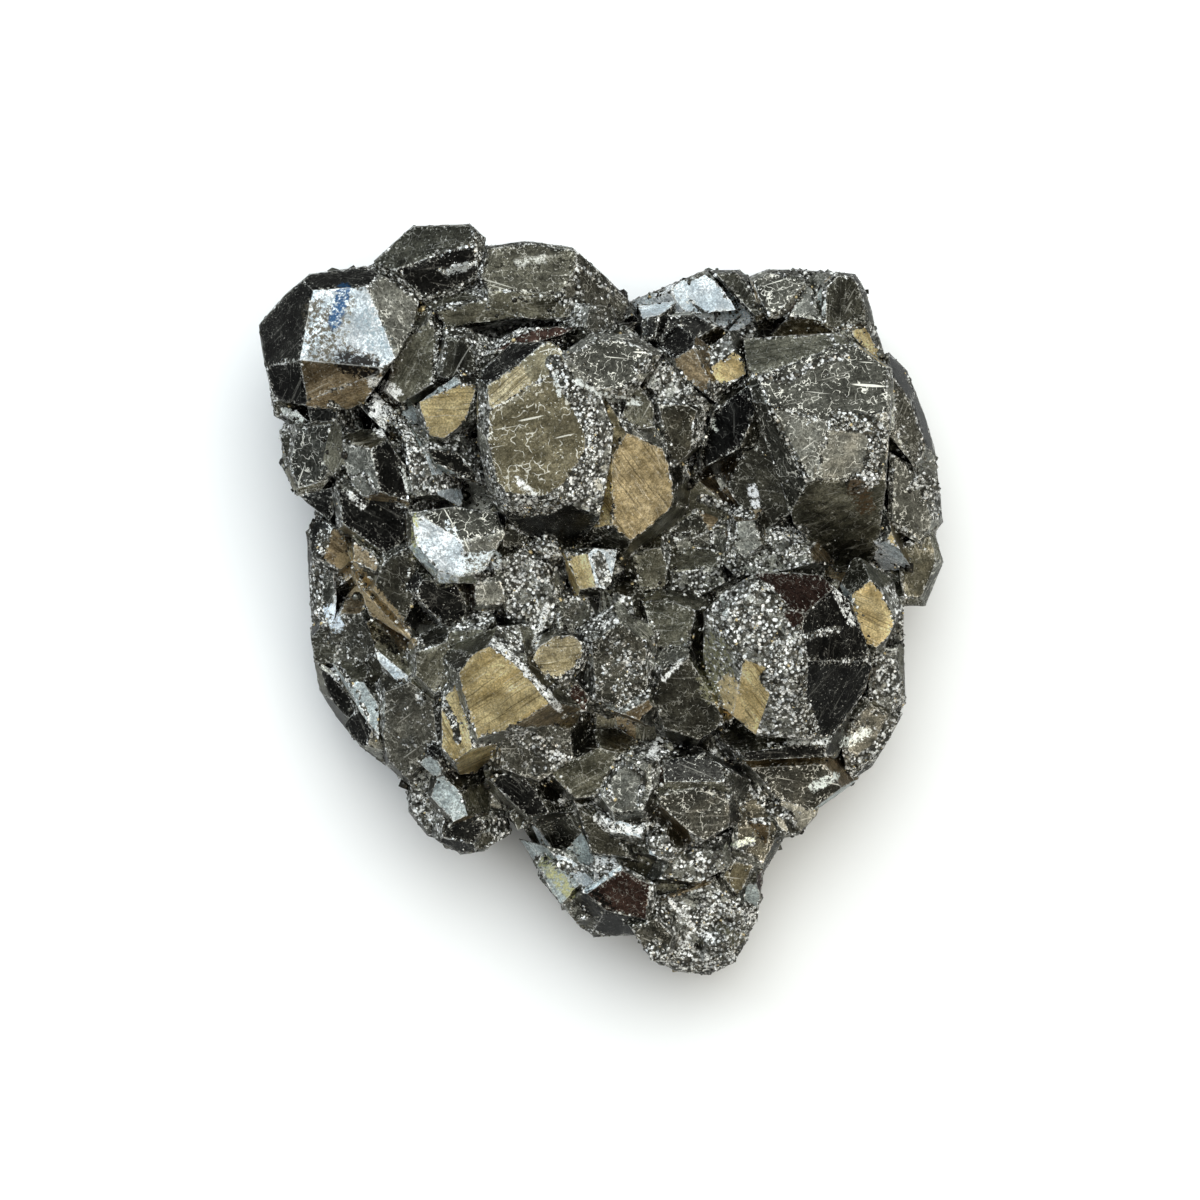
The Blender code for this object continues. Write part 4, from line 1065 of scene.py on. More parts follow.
@dataclass
class FinishMaker:
    """Makes the material of a face finish from the shared effects.

    Attributes:
        effects: the shared node groups.
        grain_size: width of a grain in the seams, in millimetres.
        grain_tilt: how far grains tip the surface.
        grain_frost: how much less metallic the palest grains are.
        fleck_frost: how much less metallic bright flecks and hairlines are.
        ridge_width: width of the granular wear along ridges, in millimetres.
        bump_height: height of the streaks, in millimetres.
        gap_shade_colour: colour of the painted shade between grains.
        grain_deep: colour of the darkest grains.
        grain_pale: colour of the palest grains.
        vein_colour: colour of hairlines, glints and flecks.
        ridge_highlight_colour: colour of the painted highlight along sharp ridges.
    """

    effects: Effects
    grain_size: float = 0.24
    grain_tilt: float = 1.5
    grain_frost: float = 0.6
    fleck_frost: float = 0.65
    ridge_width: float = 0.14
    bump_height: float = 0.02
    gap_shade_colour: Colour = (0.07, 0.067, 0.055)
    grain_deep: Colour = (0.13, 0.127, 0.108)
    grain_pale: Colour = (1.0, 1.0, 0.97)
    vein_colour: Colour = (0.98, 0.96, 0.86)
    ridge_highlight_colour: Colour = (0.90, 0.90, 0.85)

    def material(self, finish: Finish, look: FaceFinish) -> bpy.types.Material:
        """Builds one finish.

        Args:
            finish: which finish it is.
            look: its colours and strengths.

        Returns:
            The material.
        """
        made, w = new_material("pyrite_" + finish.name.lower())
        place = w.millimetres()
        axes = w.attribute("axes", "Vector")
        ridge = w.attribute("ridge")
        band = w.attribute("band")
        normal = w.node("NewGeometry").outputs["Normal"]
        near = w.step(ridge, 0.7, 0.05)
        mottle = self.effects.mottle.placed(w, Place=place, Near=near).outputs
        streaks = self.effects.streaks.placed(w, Axes=axes, Pitch=look.pitch).outputs
        veins = self.effects.veins.placed(w, Place=place, Axes=axes, Scale=look.vein_scale,
                                          Width=look.vein_width).outputs
        grains = self.effects.grains.placed(
            w, Place=place, Size=self.grain_size, Normal=normal, Tilt=self.grain_tilt).outputs

        # The bare face
        tone = w.line(mottle["Tone"], 0.5, w.times(w.attribute("tint"), 0.5))
        tone = w.varied(tone, streaks["Band"], 0.6 * look.streak)
        colour = w.blend(tone, look.deep, look.pale)
        # Painted shade along the streaks' dark lines and in the pits, and painted glints along their pale
        # lines
        streak_and_pit_shade = tuple(0.3 * part for part in look.deep)
        colour = w.blend(w.times(streaks["Line"], 0.8 * look.streak), colour, streak_and_pit_shade)
        colour = w.blend(w.times(streaks["Glint"], 0.45 * look.streak), colour, self.vein_colour)
        colour = w.scaled(colour, w.line(mottle["Fine"], 2.4, -0.20))
        colour = w.scaled(colour, w.line(mottle["Cloud"], 0.8, 0.6))
        dark_patch = tuple(0.4 * part for part in look.deep)
        colour = w.blend(w.times(mottle["Patch"], look.mottle), colour, dark_patch)
        # Painted highlight: bright flecks, most of them near ridges
        speckle = w.times(mottle["Speck"], 0.35 + 0.65 * look.vein)
        colour = w.blend(speckle, colour, self.vein_colour)
        # Painted shade: dark spots for pits, which have no hollow
        colour = w.blend(w.times(mottle["Pit"], 0.7), colour, streak_and_pit_shade)
        colour = w.blend(w.times(veins["Line"], look.vein), colour, self.vein_colour)

        # Stains, and a painted highlight along ridges
        stain_colour = w.attribute("stain_colour", "Vector")
        ragged = w.step(w.noise(w.scaled(place, 2.8), 5.0, 0.8), 0.34, 0.66)
        stained = w.step(w.line(ragged, 0.9, w.attribute("stain")), 0.95, 1.25)
        colour = w.blend(stained, colour, w.scaled(stain_colour, w.line(mottle["Fine"], 1.6, 0.2)))
        # Painted highlight: a thin pale line along sharp ridges
        edge = w.step(ridge, 0.09, 0.03, 0.0, 0.55)
        colour = w.blend(w.times(edge, mottle["Tone"]), colour, self.ridge_highlight_colour)

        # Grains
        cover = self.grain_cover(w, place, ridge, band, look)
        cover = w.times(cover, w.line(stained, -0.85, 1.0))
        lit = w.step(grains["Tone"], 0.38, 0.85)
        grain = w.blend(lit, self.grain_deep, self.grain_pale)
        # Painted shade in the gaps between grains
        grain = w.blend(grains["Gap"], grain, self.gap_shade_colour)
        grain = w.scaled(grain, w.line(mottle["Tone"], 0.7, 0.55))
        colour = w.blend(cover, colour, grain)

        # Relief, roughness and metallic share
        height = w.line(streaks["Height"], look.streak, w.times(mottle["Fine"], 0.35))
        bump = w.node("Bump", Strength=1.0, Distance=self.bump_height * MM, Height=height).outputs[0]
        facing = w.vector("NORMALIZE", w.blend(cover, bump, grains["Normal"], "VECTOR"))
        roughness = w.line(mottle["Fine"], 0.16, look.roughness - 0.08)
        frosted = w.times(cover, w.times(lit, self.grain_frost))
        fleck = w.math("MAXIMUM", w.times(speckle, self.fleck_frost),
                       w.times(veins["Line"], look.vein * self.fleck_frost))
        # Pale stains, the painted glints among them, are made less metallic so that they show bright
        paleness = w.node("SeparateXYZ", Vector=stain_colour).outputs["Y"]
        white = w.step(paleness, 0.45, 0.9, 0.0, self.fleck_frost)
        fleck = w.math("MAXIMUM", fleck, w.times(white, stained))
        bare = w.times(fleck, w.less(1.0, cover))
        metallic = w.math("SUBTRACT", w.less(look.metallic, frosted), bare, clamp=True)
        w.shade(Base_Color=colour, Metallic=metallic, Roughness=roughness, Normal=facing)
        return made

    def grain_cover(self, w: Wiring, place: object, ridge: object, band: object, look: FaceFinish) -> object:
        """Where grains cover the face: in the bands, along worn ridges, and in patches.

        Args:
            w: wiring of the material.
            place: place in millimetres.
            ridge: distance from the nearest ridge.
            band: strength of the bands of grains.
            look: the finish, for its share of patches.

        Returns:
            A mask.
        """
        ragged = w.noise(w.scaled(place, 2.6), 3.0, 0.7)
        in_band = w.step(w.line(ragged, 1.2, band), 1.0, 1.12)
        wide = w.step(w.noise(w.scaled(place, 0.45)), 0.42, 0.66, 0.7, 3.4)
        reach = w.times(w.times(w.step(ragged, 0.42, 0.66), self.ridge_width), wide)
        on_ridge = w.step(w.less(ridge, reach), 0.015, -0.05)
        patches = w.noise(w.scaled(place, 1.1), 4.0, 0.75)
        limit = 0.72 - 0.4 * look.cover
        in_patch = w.step(patches, limit, limit + 0.05)
        return w.math("MAXIMUM", w.math("MAXIMUM", in_band, on_ridge), in_patch)


@dataclass
class CrystalSkin:
    """The visible skin of the cluster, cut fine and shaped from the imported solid.

    Attributes:
        node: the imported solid's object.
        view: the photograph's view, by which faces are picked out.
        fine_edge: greatest edge of the net on faces that look up, in millimetres.
        coarse_edge: greatest edge on the others.
        flat_angle: triangles that differ by less lie in one crystal face, in degrees.
        crease_angle: least angle at a ridge, and half the least angle at a valley, in degrees.
        ridge_reach: how far from a ridge the skin is still shaped by it, in millimetres.
        wear_depth: how deep ridges are worn, in millimetres.
        wear_width: how wide the worn strip is, in millimetres.
        step_spacing: distance between growth steps, in millimetres.
        band_swell: how far bands of grains stand proud, in millimetres.
        stain_depth: how far below the faces along it a stain still shows, in millimetres.
        smooth_angle: edges flatter than this are shaded smooth, in degrees.
        fine_slopes: how far up a face looks where the net turns from coarse to fine.
        marked_slope: how far up the skin looks where bands and stains lie in full.
        matrix_slope: faces that look up less than this are broken matrix.
        matrix_height: and so are faces that lie lower than this, in millimetres.
        step_wander: length over which growth steps wander, in millimetres.
        wear_length: length of the swells in the wear of ridges.
        relief_length: length of the swells on faces.
        swell_length: length of the swells in bands of grains.
        net: the fine net; build works out this and all that follows.
        finish: slot number of each crystal face.
        streak_direction: the way its streaks run.
        normal_of_face: its normal.
        band: at each point of the net, how thickly grains lie.
        stain: how strongly the point is stained.
        stain_colour: the colour of its stain.
        valley: its distance from the nearest valley.
        low: lower corner of the solid's box.
        high: upper corner of that box.
    """

    node: bpy.types.Object
    view: PhotoView
    fine_edge: float = 0.46
    coarse_edge: float = 1.1
    flat_angle: float = 0.6
    crease_angle: float = 9.0
    ridge_reach: float = 1.6
    wear_depth: float = 0.09
    wear_width: float = 0.42
    step_spacing: float = 1.1
    band_swell: float = 0.10
    stain_depth: float = 2.5
    smooth_angle: float = 24.0
    fine_slopes: tuple[float, float] = (-0.15, 0.25)
    marked_slope: float = 0.3
    matrix_slope: float = -0.12
    matrix_height: float = 2.2
    step_wander: float = 5.0
    wear_length: float = 0.8
    relief_length: float = 1.3
    swell_length: float = 0.7
    net: Net = field(init=False)
    finish: np.ndarray = field(init=False)
    streak_direction: np.ndarray = field(init=False)
    normal_of_face: np.ndarray = field(init=False)
    band: np.ndarray = field(init=False)
    stain: np.ndarray = field(init=False)
    stain_colour: np.ndarray = field(init=False)
    valley: np.ndarray = field(init=False)
    low: np.ndarray = field(init=False)
    high: np.ndarray = field(init=False)

    def solid_net(self) -> Net:
        """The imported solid's triangles, with the points that they share merged by rounding.

        Returns:
            The net, each triangle in a crystal face of its own as yet.
        """
        mesh = self.node.data
        mesh.calc_loop_triangles()
        corners = np.empty(len(mesh.vertices) * 3, np.float32)
        mesh.vertices.foreach_get("co", corners)
        triangles = np.empty(len(mesh.loop_triangles) * 3, np.int32)
        mesh.loop_triangles.foreach_get("vertices", triangles)
        places = np.round(corners.reshape(-1, 3).astype(float) / MM, 4)
        points, merged = np.unique(places, axis=0, return_inverse=True)
        faces = merged.reshape(-1)[triangles].reshape(-1, 3)
        distinct = (faces != np.roll(faces, 1, axis=1)).all(axis=1)
        faces = faces[distinct]
        return Net(points, faces, np.arange(len(faces)))

    def crystal_faces(self, net: Net) -> np.ndarray:
        """Numbers the crystal faces: neighbours that lie in one plane take the lower of their numbers,
        again and again, until no number changes.

        Args:
            net: the solid's net.

        Returns:
            A number for each triangle, counted from 0.
        """
        normals, _ = face_normals(net.points, net.faces)
        _, pair = net.faces_by_edge()
        turn = (normals[pair[:, 0]] * normals[pair[:, 1]]).sum(axis=1)
        first, second = pair[turn > math.cos(math.radians(self.flat_angle))].T
        number = np.arange(len(net.faces))
        while True:
            lower = number.copy()
            np.minimum.at(lower, first, number[second])
            np.minimum.at(lower, second, number[first])
            lower = lower[lower]
            if (lower == number).all():
                return np.unique(number, return_inverse=True)[1].reshape(-1)
            number = lower

    def usual_finishes(self, normals: np.ndarray, heights: np.ndarray) -> np.ndarray:
        """Draws a finish for each crystal face; faces that look down or lie low are broken matrix.

        Args:
            normals: normal of each crystal face.
            heights: height of its middle.

        Returns:
            A slot number for each crystal face.
        """
        source = np.random.default_rng(Seed.FINISH)
        slots = [finish.value for finish in USUAL_FINISHES]
        drawn = source.choice(slots, len(normals), p=list(USUAL_FINISHES.values()))
        broken = (normals[:, 2] < self.matrix_slope) | (heights < self.matrix_height)
        return np.where(broken, Finish.BROKEN.value, drawn)

    def shown_at(self, net: Net, pixel: Pixel) -> tuple[int, float]:
        """The crystal face that shows at a pixel: of the triangles around it, the one nearest the eye.

        Args:
            net: the solid's net.
            pixel: the pixel.

        Returns:
            The number of the crystal face and the height of its triangle there, or -1 and 0.
        """
        shown = self.view.pixels(net.points)[net.faces]
        offset = shown - np.array(pixel)
        turns = [offset[:, k, 0] * offset[:, (k + 1) % 3, 1] - offset[:, k, 1] * offset[:, (k + 1) % 3, 0]
                 for k in range(3)]
        around = np.flatnonzero((np.stack(turns) <= 0.0).all(axis=0))
        if not len(around):
            return -1, 0.0
        height = net.points[net.faces[around]].mean(axis=1)[:, 2]
        return int(net.owner[around[height.argmax()]]), float(height.max())

    def pick_finishes(self, net: Net) -> None:
        """Gives each crystal face its finish and the direction of its streaks.

        Args:
            net: the solid's net, with its crystal faces numbered.
        """
        normals, area = face_normals(net.points, net.faces)
        count = net.owner.max() + 1
        summed = np.zeros((count, 3))
        np.add.at(summed, net.owner, normals * area[:, None])
        self.normal_of_face = unit(summed)
        weight = np.bincount(net.owner, area)
        middles = net.points[net.faces].mean(axis=1)
        heights = np.bincount(net.owner, area * middles[:, 2]) / np.maximum(weight, 1e-9)
        self.finish = self.usual_finishes(self.normal_of_face, heights)
        self.streak_direction = self.longest_sides(net, count)
        for finish, places in FACE_PLACES.items():
            for x, y, angle in places:
                face, _ = self.shown_at(net, (x, y))
                if face < 0:
                    continue
                self.finish[face] = finish.value
                turn = math.radians(angle)
                wanted = np.array((math.cos(turn), math.sin(turn), 0.0))
                normal = self.normal_of_face[face]
                wanted -= normal * (normal @ wanted)
                self.streak_direction[face] = wanted / np.linalg.norm(wanted)

    def longest_sides(self, net: Net, count: int) -> np.ndarray:
        """The direction of each crystal face's longest side, along which its streaks run.

        Args:
            net: the solid's net.
            count: number of crystal faces.

        Returns:
            A unit vector for each crystal face.
        """
        ends, pair = net.faces_by_edge()
        side = net.points[ends[:, 1]] - net.points[ends[:, 0]]
        border = net.owner[pair[:, 0]] != net.owner[pair[:, 1]]
        order = np.argsort(np.linalg.norm(side[border], axis=1))
        longest = np.tile((1.0, 0.0, 0.0), (count, 1))
        for column in range(2):
            longest[net.owner[pair[border][order, column]]] = side[border][order]
        return unit(longest)

    def net_limits(self) -> np.ndarray:
        """Greatest edge for each crystal face: fine where it looks up, coarse where it looks down."""
        up = eased(self.normal_of_face[:, 2], *self.fine_slopes)
        return self.coarse_edge + (self.fine_edge - self.coarse_edge) * up

    def creases(self) -> tuple[np.ndarray, np.ndarray]:
        """Distance of each point from the nearest ridge, and from the nearest valley.

        An edge between two crystal faces is a ridge if the second lies below the first's plane.

        Returns:
            The two distances, each at most the ridge reach.
        """
        net = self.net
        ends, pair = net.faces_by_edge()
        middles = net.points[net.faces].mean(axis=1)
        owners = net.owner[pair]
        border = owners[:, 0] != owners[:, 1]
        fall = ((middles[pair[:, 1]] - middles[pair[:, 0]]) * self.normal_of_face[owners[:, 0]]).sum(axis=1)
        length = np.linalg.norm(net.points[ends[:, 0]] - net.points[ends[:, 1]], axis=1)
        turn = (self.normal_of_face[owners[:, 0]] * self.normal_of_face[owners[:, 1]]).sum(axis=1)
        sharp = border & (turn < math.cos(math.radians(self.crease_angle)))
        deep = border & (turn < math.cos(math.radians(2.0 * self.crease_angle)))
        found = []
        for kind in (sharp & (fall < 0.0), deep & (fall >= 0.0)):
            sources = np.zeros(len(net.points), bool)
            sources[ends[kind].ravel()] = True
            found.append(crept(sources, ends, length, self.ridge_reach))
        return found[0], found[1]

    def axes(self) -> np.ndarray:
        """Place of each triangle corner across and along the streaks of its crystal face, and a number
        that sets each face's pattern apart.

        Returns:
            Three numbers for each corner of each triangle.
        """
        along = self.streak_direction[self.net.owner]
        across = np.cross(self.normal_of_face[self.net.owner], along)
        corners = self.net.points[self.net.faces]
        apart = np.broadcast_to((self.net.owner * 3.7)[:, None], corners.shape[:2])
        places = [(corners * way[:, None]).sum(axis=2) for way in (across, along)]
        return np.stack([*places, apart], axis=2).reshape(-1, 3)

    def shaped(self, ridge: np.ndarray, valley: np.ndarray) -> np.ndarray:
        """The points, moved along their normals: ridges worn ragged, faces stepped and uneven, and bands
        of grains swollen. Steps are a saw-tooth across the streaks.

        Args:
            ridge: distance of each point from the nearest ridge.
            valley: distance from the nearest valley.

        Returns:
            The moved points, kept inside the solid's box.
        """
        net = self.net
        normals, area = face_normals(net.points, net.faces)
        summed = np.zeros_like(net.points)
        for column in range(3):
            np.add.at(summed, net.faces[:, column], normals * area[:, None])
        outward = unit(summed)
        owner = np.zeros(len(net.points), int)
        owner[net.faces.ravel()] = np.repeat(net.owner, 3)
        looks = [FINISHES[finish] for finish in Finish]
        relief = np.array([look.relief for look in looks])[self.finish[owner]]
        step = np.array([look.step for look in looks])[self.finish[owner]]
        across = (np.cross(self.normal_of_face, self.streak_direction)[owner] * net.points).sum(axis=1)
        phase = across / self.step_spacing + 0.5 * wave_noise(net.points, self.step_wander, Seed.STEPS)
        inner = eased(np.minimum(ridge, valley), 0.05, 0.6)
        depth = self.wear_depth * (1.0 - eased(ridge, 0.0, self.wear_width))
        depth *= 0.55 + 0.45 * wave_noise(net.points, self.wear_length, Seed.WEAR)
        depth += inner * step * (phase - np.floor(phase))
        depth += inner * relief * (0.5 + 0.5 * wave_noise(net.points, self.relief_length, Seed.RELIEF))
        swell = np.abs(wave_noise(net.points, self.swell_length, Seed.SWELL))
        depth -= self.band * self.band_swell * swell * (0.25 + 0.75 * inner)
        return np.clip(net.points - outward * depth[:, None], self.low, self.high)

    def add_stains(self, coarse: Net, upward: np.ndarray) -> None:
        """Works out how strongly each point is stained, and the colour of its strongest stain. A stain
        lies on faces that look up, and not far below the faces that show along it.

        Args:
            coarse: the solid's net.
            upward: how far the skin looks up at each point.
        """
        pixels = self.view.pixels(self.net.points)
        self.stain = np.zeros(len(pixels))
        self.stain_colour = np.zeros((len(pixels), 3))
        for stain in STAINS:
            lowest = min(self.shown_at(coarse, pixel)[1] for pixel in stain.path) - self.stain_depth
            strength = band_strength(pixels, [stain]) * upward * (self.net.points[:, 2] > lowest)
            stronger = strength > self.stain
            self.stain[stronger] = strength[stronger]
            self.stain_colour[stronger] = stain.colour

    def build(self, maker: FinishMaker) -> bpy.types.Object:
        """Builds and dresses the skin.

        Args:
            maker: makes the materials.

        Returns:
            The skin, riding on the cluster's body.
        """
        coarse = self.solid_net()
        self.low, self.high = coarse.points.min(axis=0), coarse.points.max(axis=0)
        coarse.owner = self.crystal_faces(coarse)
        self.pick_finishes(coarse)
        self.net = coarse.halved(self.net_limits())
        ridge, self.valley = self.creases()
        normals, _ = face_normals(self.net.points, self.net.faces)
        upward = np.zeros(len(self.net.points))
        np.maximum.at(upward, self.net.faces.ravel(), np.repeat(normals[:, 2], 3))
        upward = eased(upward, 0.0, self.marked_slope)
        self.band = band_strength(self.view.pixels(self.net.points), GRAIN_BANDS) * upward
        self.add_stains(coarse, upward)
        axes = self.axes()
        self.net.points = self.shaped(ridge, self.valley)
        skin = mesh_object("crystal_skin", self.net.points, self.net.faces)
        tints = np.random.default_rng(Seed.TINT).random(len(self.finish))
        store(skin, "axes", "CORNER", axes)
        store(skin, "tint", "FACE", tints[self.net.owner])
        for name, values in (("ridge", ridge), ("band", self.band), ("stain", self.stain),
                             ("stain_colour", self.stain_colour)):
            store(skin, name, "POINT", values)
        for finish in Finish:
            skin.data.materials.append(maker.material(finish, FINISHES[finish]))
        skin.data.polygons.foreach_set("material_index", self.finish[self.net.owner].astype(np.int32))
        skin.data.shade_smooth()
        skin.data.set_sharp_from_angle(angle=math.radians(self.smooth_angle))
        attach(skin, BODY)
        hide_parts(CLUSTER_NODE)
        LOG.info("crystal_skin: %d triangles, %d crystal faces", len(self.net.faces), len(self.finish))
        return skin


class Habit(Enum):
    """Shapes of a small crystal, each with the number of its triangles."""

    CUBE = 12
    OCTAHEDRON = 8
    PYRITOHEDRON = 36


def habit_shape(habit: Habit) -> tuple[np.ndarray, np.ndarray]:
    """Corners and triangles of a small crystal of size 1, the hull of its corners.

    Args:
        habit: its shape.

    Returns:
        Corners, and triangles that face outwards.
    """
    signs = (-1.0, 1.0)
    cube = [(x, y, z) for x in signs for y in signs for z in signs]
    if habit is Habit.CUBE:
        corners = np.array(cube) * 0.62
    elif habit is Habit.OCTAHEDRON:
        corners = np.vstack([np.eye(3), -np.eye(3)])
    else:
        roofs = [np.roll((0.0, 1.5 * a, 0.75 * b), turn) for turn in range(3) for a in signs for b in signs]
        corners = np.vstack([np.array(cube), np.array(roofs)]) * 0.62
    hull = bmesh.new()
    for corner in corners:
        hull.verts.new(corner)
    bmesh.ops.convex_hull(hull, input=hull.verts)
    bmesh.ops.triangulate(hull, faces=hull.faces)
    bmesh.ops.recalc_face_normals(hull, faces=hull.faces)
    hull.verts.index_update()
    places = np.array([vertex.co[:] for vertex in hull.verts])
    faces = np.array([[vertex.index for vertex in face.verts] for face in hull.faces])
    hull.free()
    return places, faces


def random_turns(source: np.random.Generator, count: int) -> np.ndarray:
    """Random rotation matrices, worked out from random unit quaternions.

    Args:
        source: the random source.
        count: how many.

    Returns:
        One 3 by 3 matrix each.
    """
    w, x, y, z = unit(source.normal(size=(count, 4))).T
    return np.stack([
        1 - 2 * (y * y + z * z), 2 * (x * y - w * z), 2 * (x * z + w * y),
        2 * (x * y + w * z), 1 - 2 * (x * x + z * z), 2 * (y * z - w * x),
        2 * (x * z - w * y), 2 * (y * z + w * x), 1 - 2 * (x * x + y * y)], axis=1).reshape(-1, 3, 3)


@dataclass
class Druse:
    """A coating of small crystals, half sunk into the skin.

    Attributes:
        name: name of the piece.
        skin: the skin that they sit on.
        counts: how many small crystals of each habit.
        radius: least and greatest radius, in millimetres.
        sunk: how far a crystal's middle lies below the skin, as a share of its radius.
        seed: seed of its random places.
    """

    name: str
    skin: CrystalSkin
    counts: dict[Habit, int]
    radius: tuple[float, float]
    sunk: float
    seed: int

    def build(self, density: np.ndarray, material: bpy.types.Material) -> bpy.types.Object:
        """Scatters the small crystals over the skin's triangles, in proportion to density times area.

        Args:
            density: how thickly they lie on each triangle.
            material: their material.

        Returns:
            The piece, riding on the cluster's body.
        """
        source = np.random.default_rng(self.seed)
        net = self.skin.net
        normals, area = face_normals(net.points, net.faces)
        reached = np.cumsum(density * area)
        all_points, all_faces, all_tones = [], [], []
        start = 0
        for habit, count in self.counts.items():
            shape, shape_faces = habit_shape(habit)
            chosen = np.searchsorted(reached, source.random(count) * reached[-1])
            share = source.dirichlet((1.0, 1.0, 1.0), count)
            place = (net.points[net.faces[chosen]] * share[:, :, None]).sum(axis=1)
            least, most = self.radius
            radius = least + (most - least) * source.random(count) ** 2
            middle = place - normals[chosen] * (self.sunk * radius)[:, None]
            turned = np.einsum("nij,vj->nvi", random_turns(source, count), shape)
            points = middle[:, None] + turned * radius[:, None, None]
            faces = shape_faces[None] + start + (np.arange(count) * len(shape))[:, None, None]
            all_points.append(points.reshape(-1, 3))
            all_faces.append(faces.reshape(-1, 3))
            all_tones.append(np.repeat(source.random(count), len(shape)))
            start += count * len(shape)
        points = np.clip(np.vstack(all_points), self.skin.low, self.skin.high)
        piece = mesh_object(self.name, points, np.vstack(all_faces))
        store(piece, "tone", "POINT", np.concatenate(all_tones))
        piece.data.materials.append(material)
        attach(piece, BODY)
        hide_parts(CLUSTER_NODE)
        LOG.info("%s: %d triangles", self.name, len(piece.data.polygons))
        return piece


@dataclass(frozen=True)
class DruseFinish:
    """Finish of the small crystals: each one is black, some shade from grey to silver, or gold, by its
    own tone.

    Attributes:
        black: colour of the black ones, and of grime.
        grey: colour at the dark end of the shades.
        silver: colour at their bright end.
        gold: colour of the gold ones.
        black_share: tones below this are black.
        silver_from: tone at which the shades start to brighten.
        silver_to: tone at which they are silver.
        gold_from: tones above this are gold.
        roughness: roughness on average.
        frost: how much less metallic the brightest ones are.
    """

    black: Colour = (0.05, 0.047, 0.04)
    grey: Colour = (0.20, 0.195, 0.165)
    silver: Colour = (1.0, 1.0, 0.96)
    gold: Colour = (0.62, 0.50, 0.28)
    black_share: float = 0.06
    silver_from: float = 0.25
    silver_to: float = 0.95
    gold_from: float = 0.97
    roughness: float = 0.24
    frost: float = 0.65

    def material(self, name: str) -> bpy.types.Material:
        """Builds the material.

        Args:
            name: its name.

        Returns:
            The material.
        """
        made, w = new_material(name)
        tone = w.attribute("tone")
        place = w.millimetres()
        cloud = w.noise(w.scaled(place, 1.5), 3.0, 0.7)
        bright = w.step(w.varied(tone, cloud, 1.8, clamp=False), self.silver_from, self.silver_to)
        colour = w.blend(w.math("GREATER_THAN", tone, self.black_share), self.black, self.grey)
        colour = w.blend(bright, colour, self.silver)
        colour = w.blend(w.math("GREATER_THAN", tone, self.gold_from), colour, self.gold)
        grime = w.noise(w.scaled(place, 9.0), 2.0)
        colour = w.blend(w.step(grime, 0.55, 0.75, 0.0, 0.35), colour, self.black)
        roughness = w.line(grime, 0.2, self.roughness - 0.1)
        metallic = w.less(1.0, w.times(bright, self.frost))
        w.shade(Base_Color=colour, Metallic=metallic, Roughness=roughness)
        return made


@dataclass(frozen=True)
class SoftLight:
    """A soft light: where it stands, its size in metres, its power and its colour."""

    name: str
    place: tuple[float, float, float]
    size: tuple[float, float]
    power: float
    colour: Colour


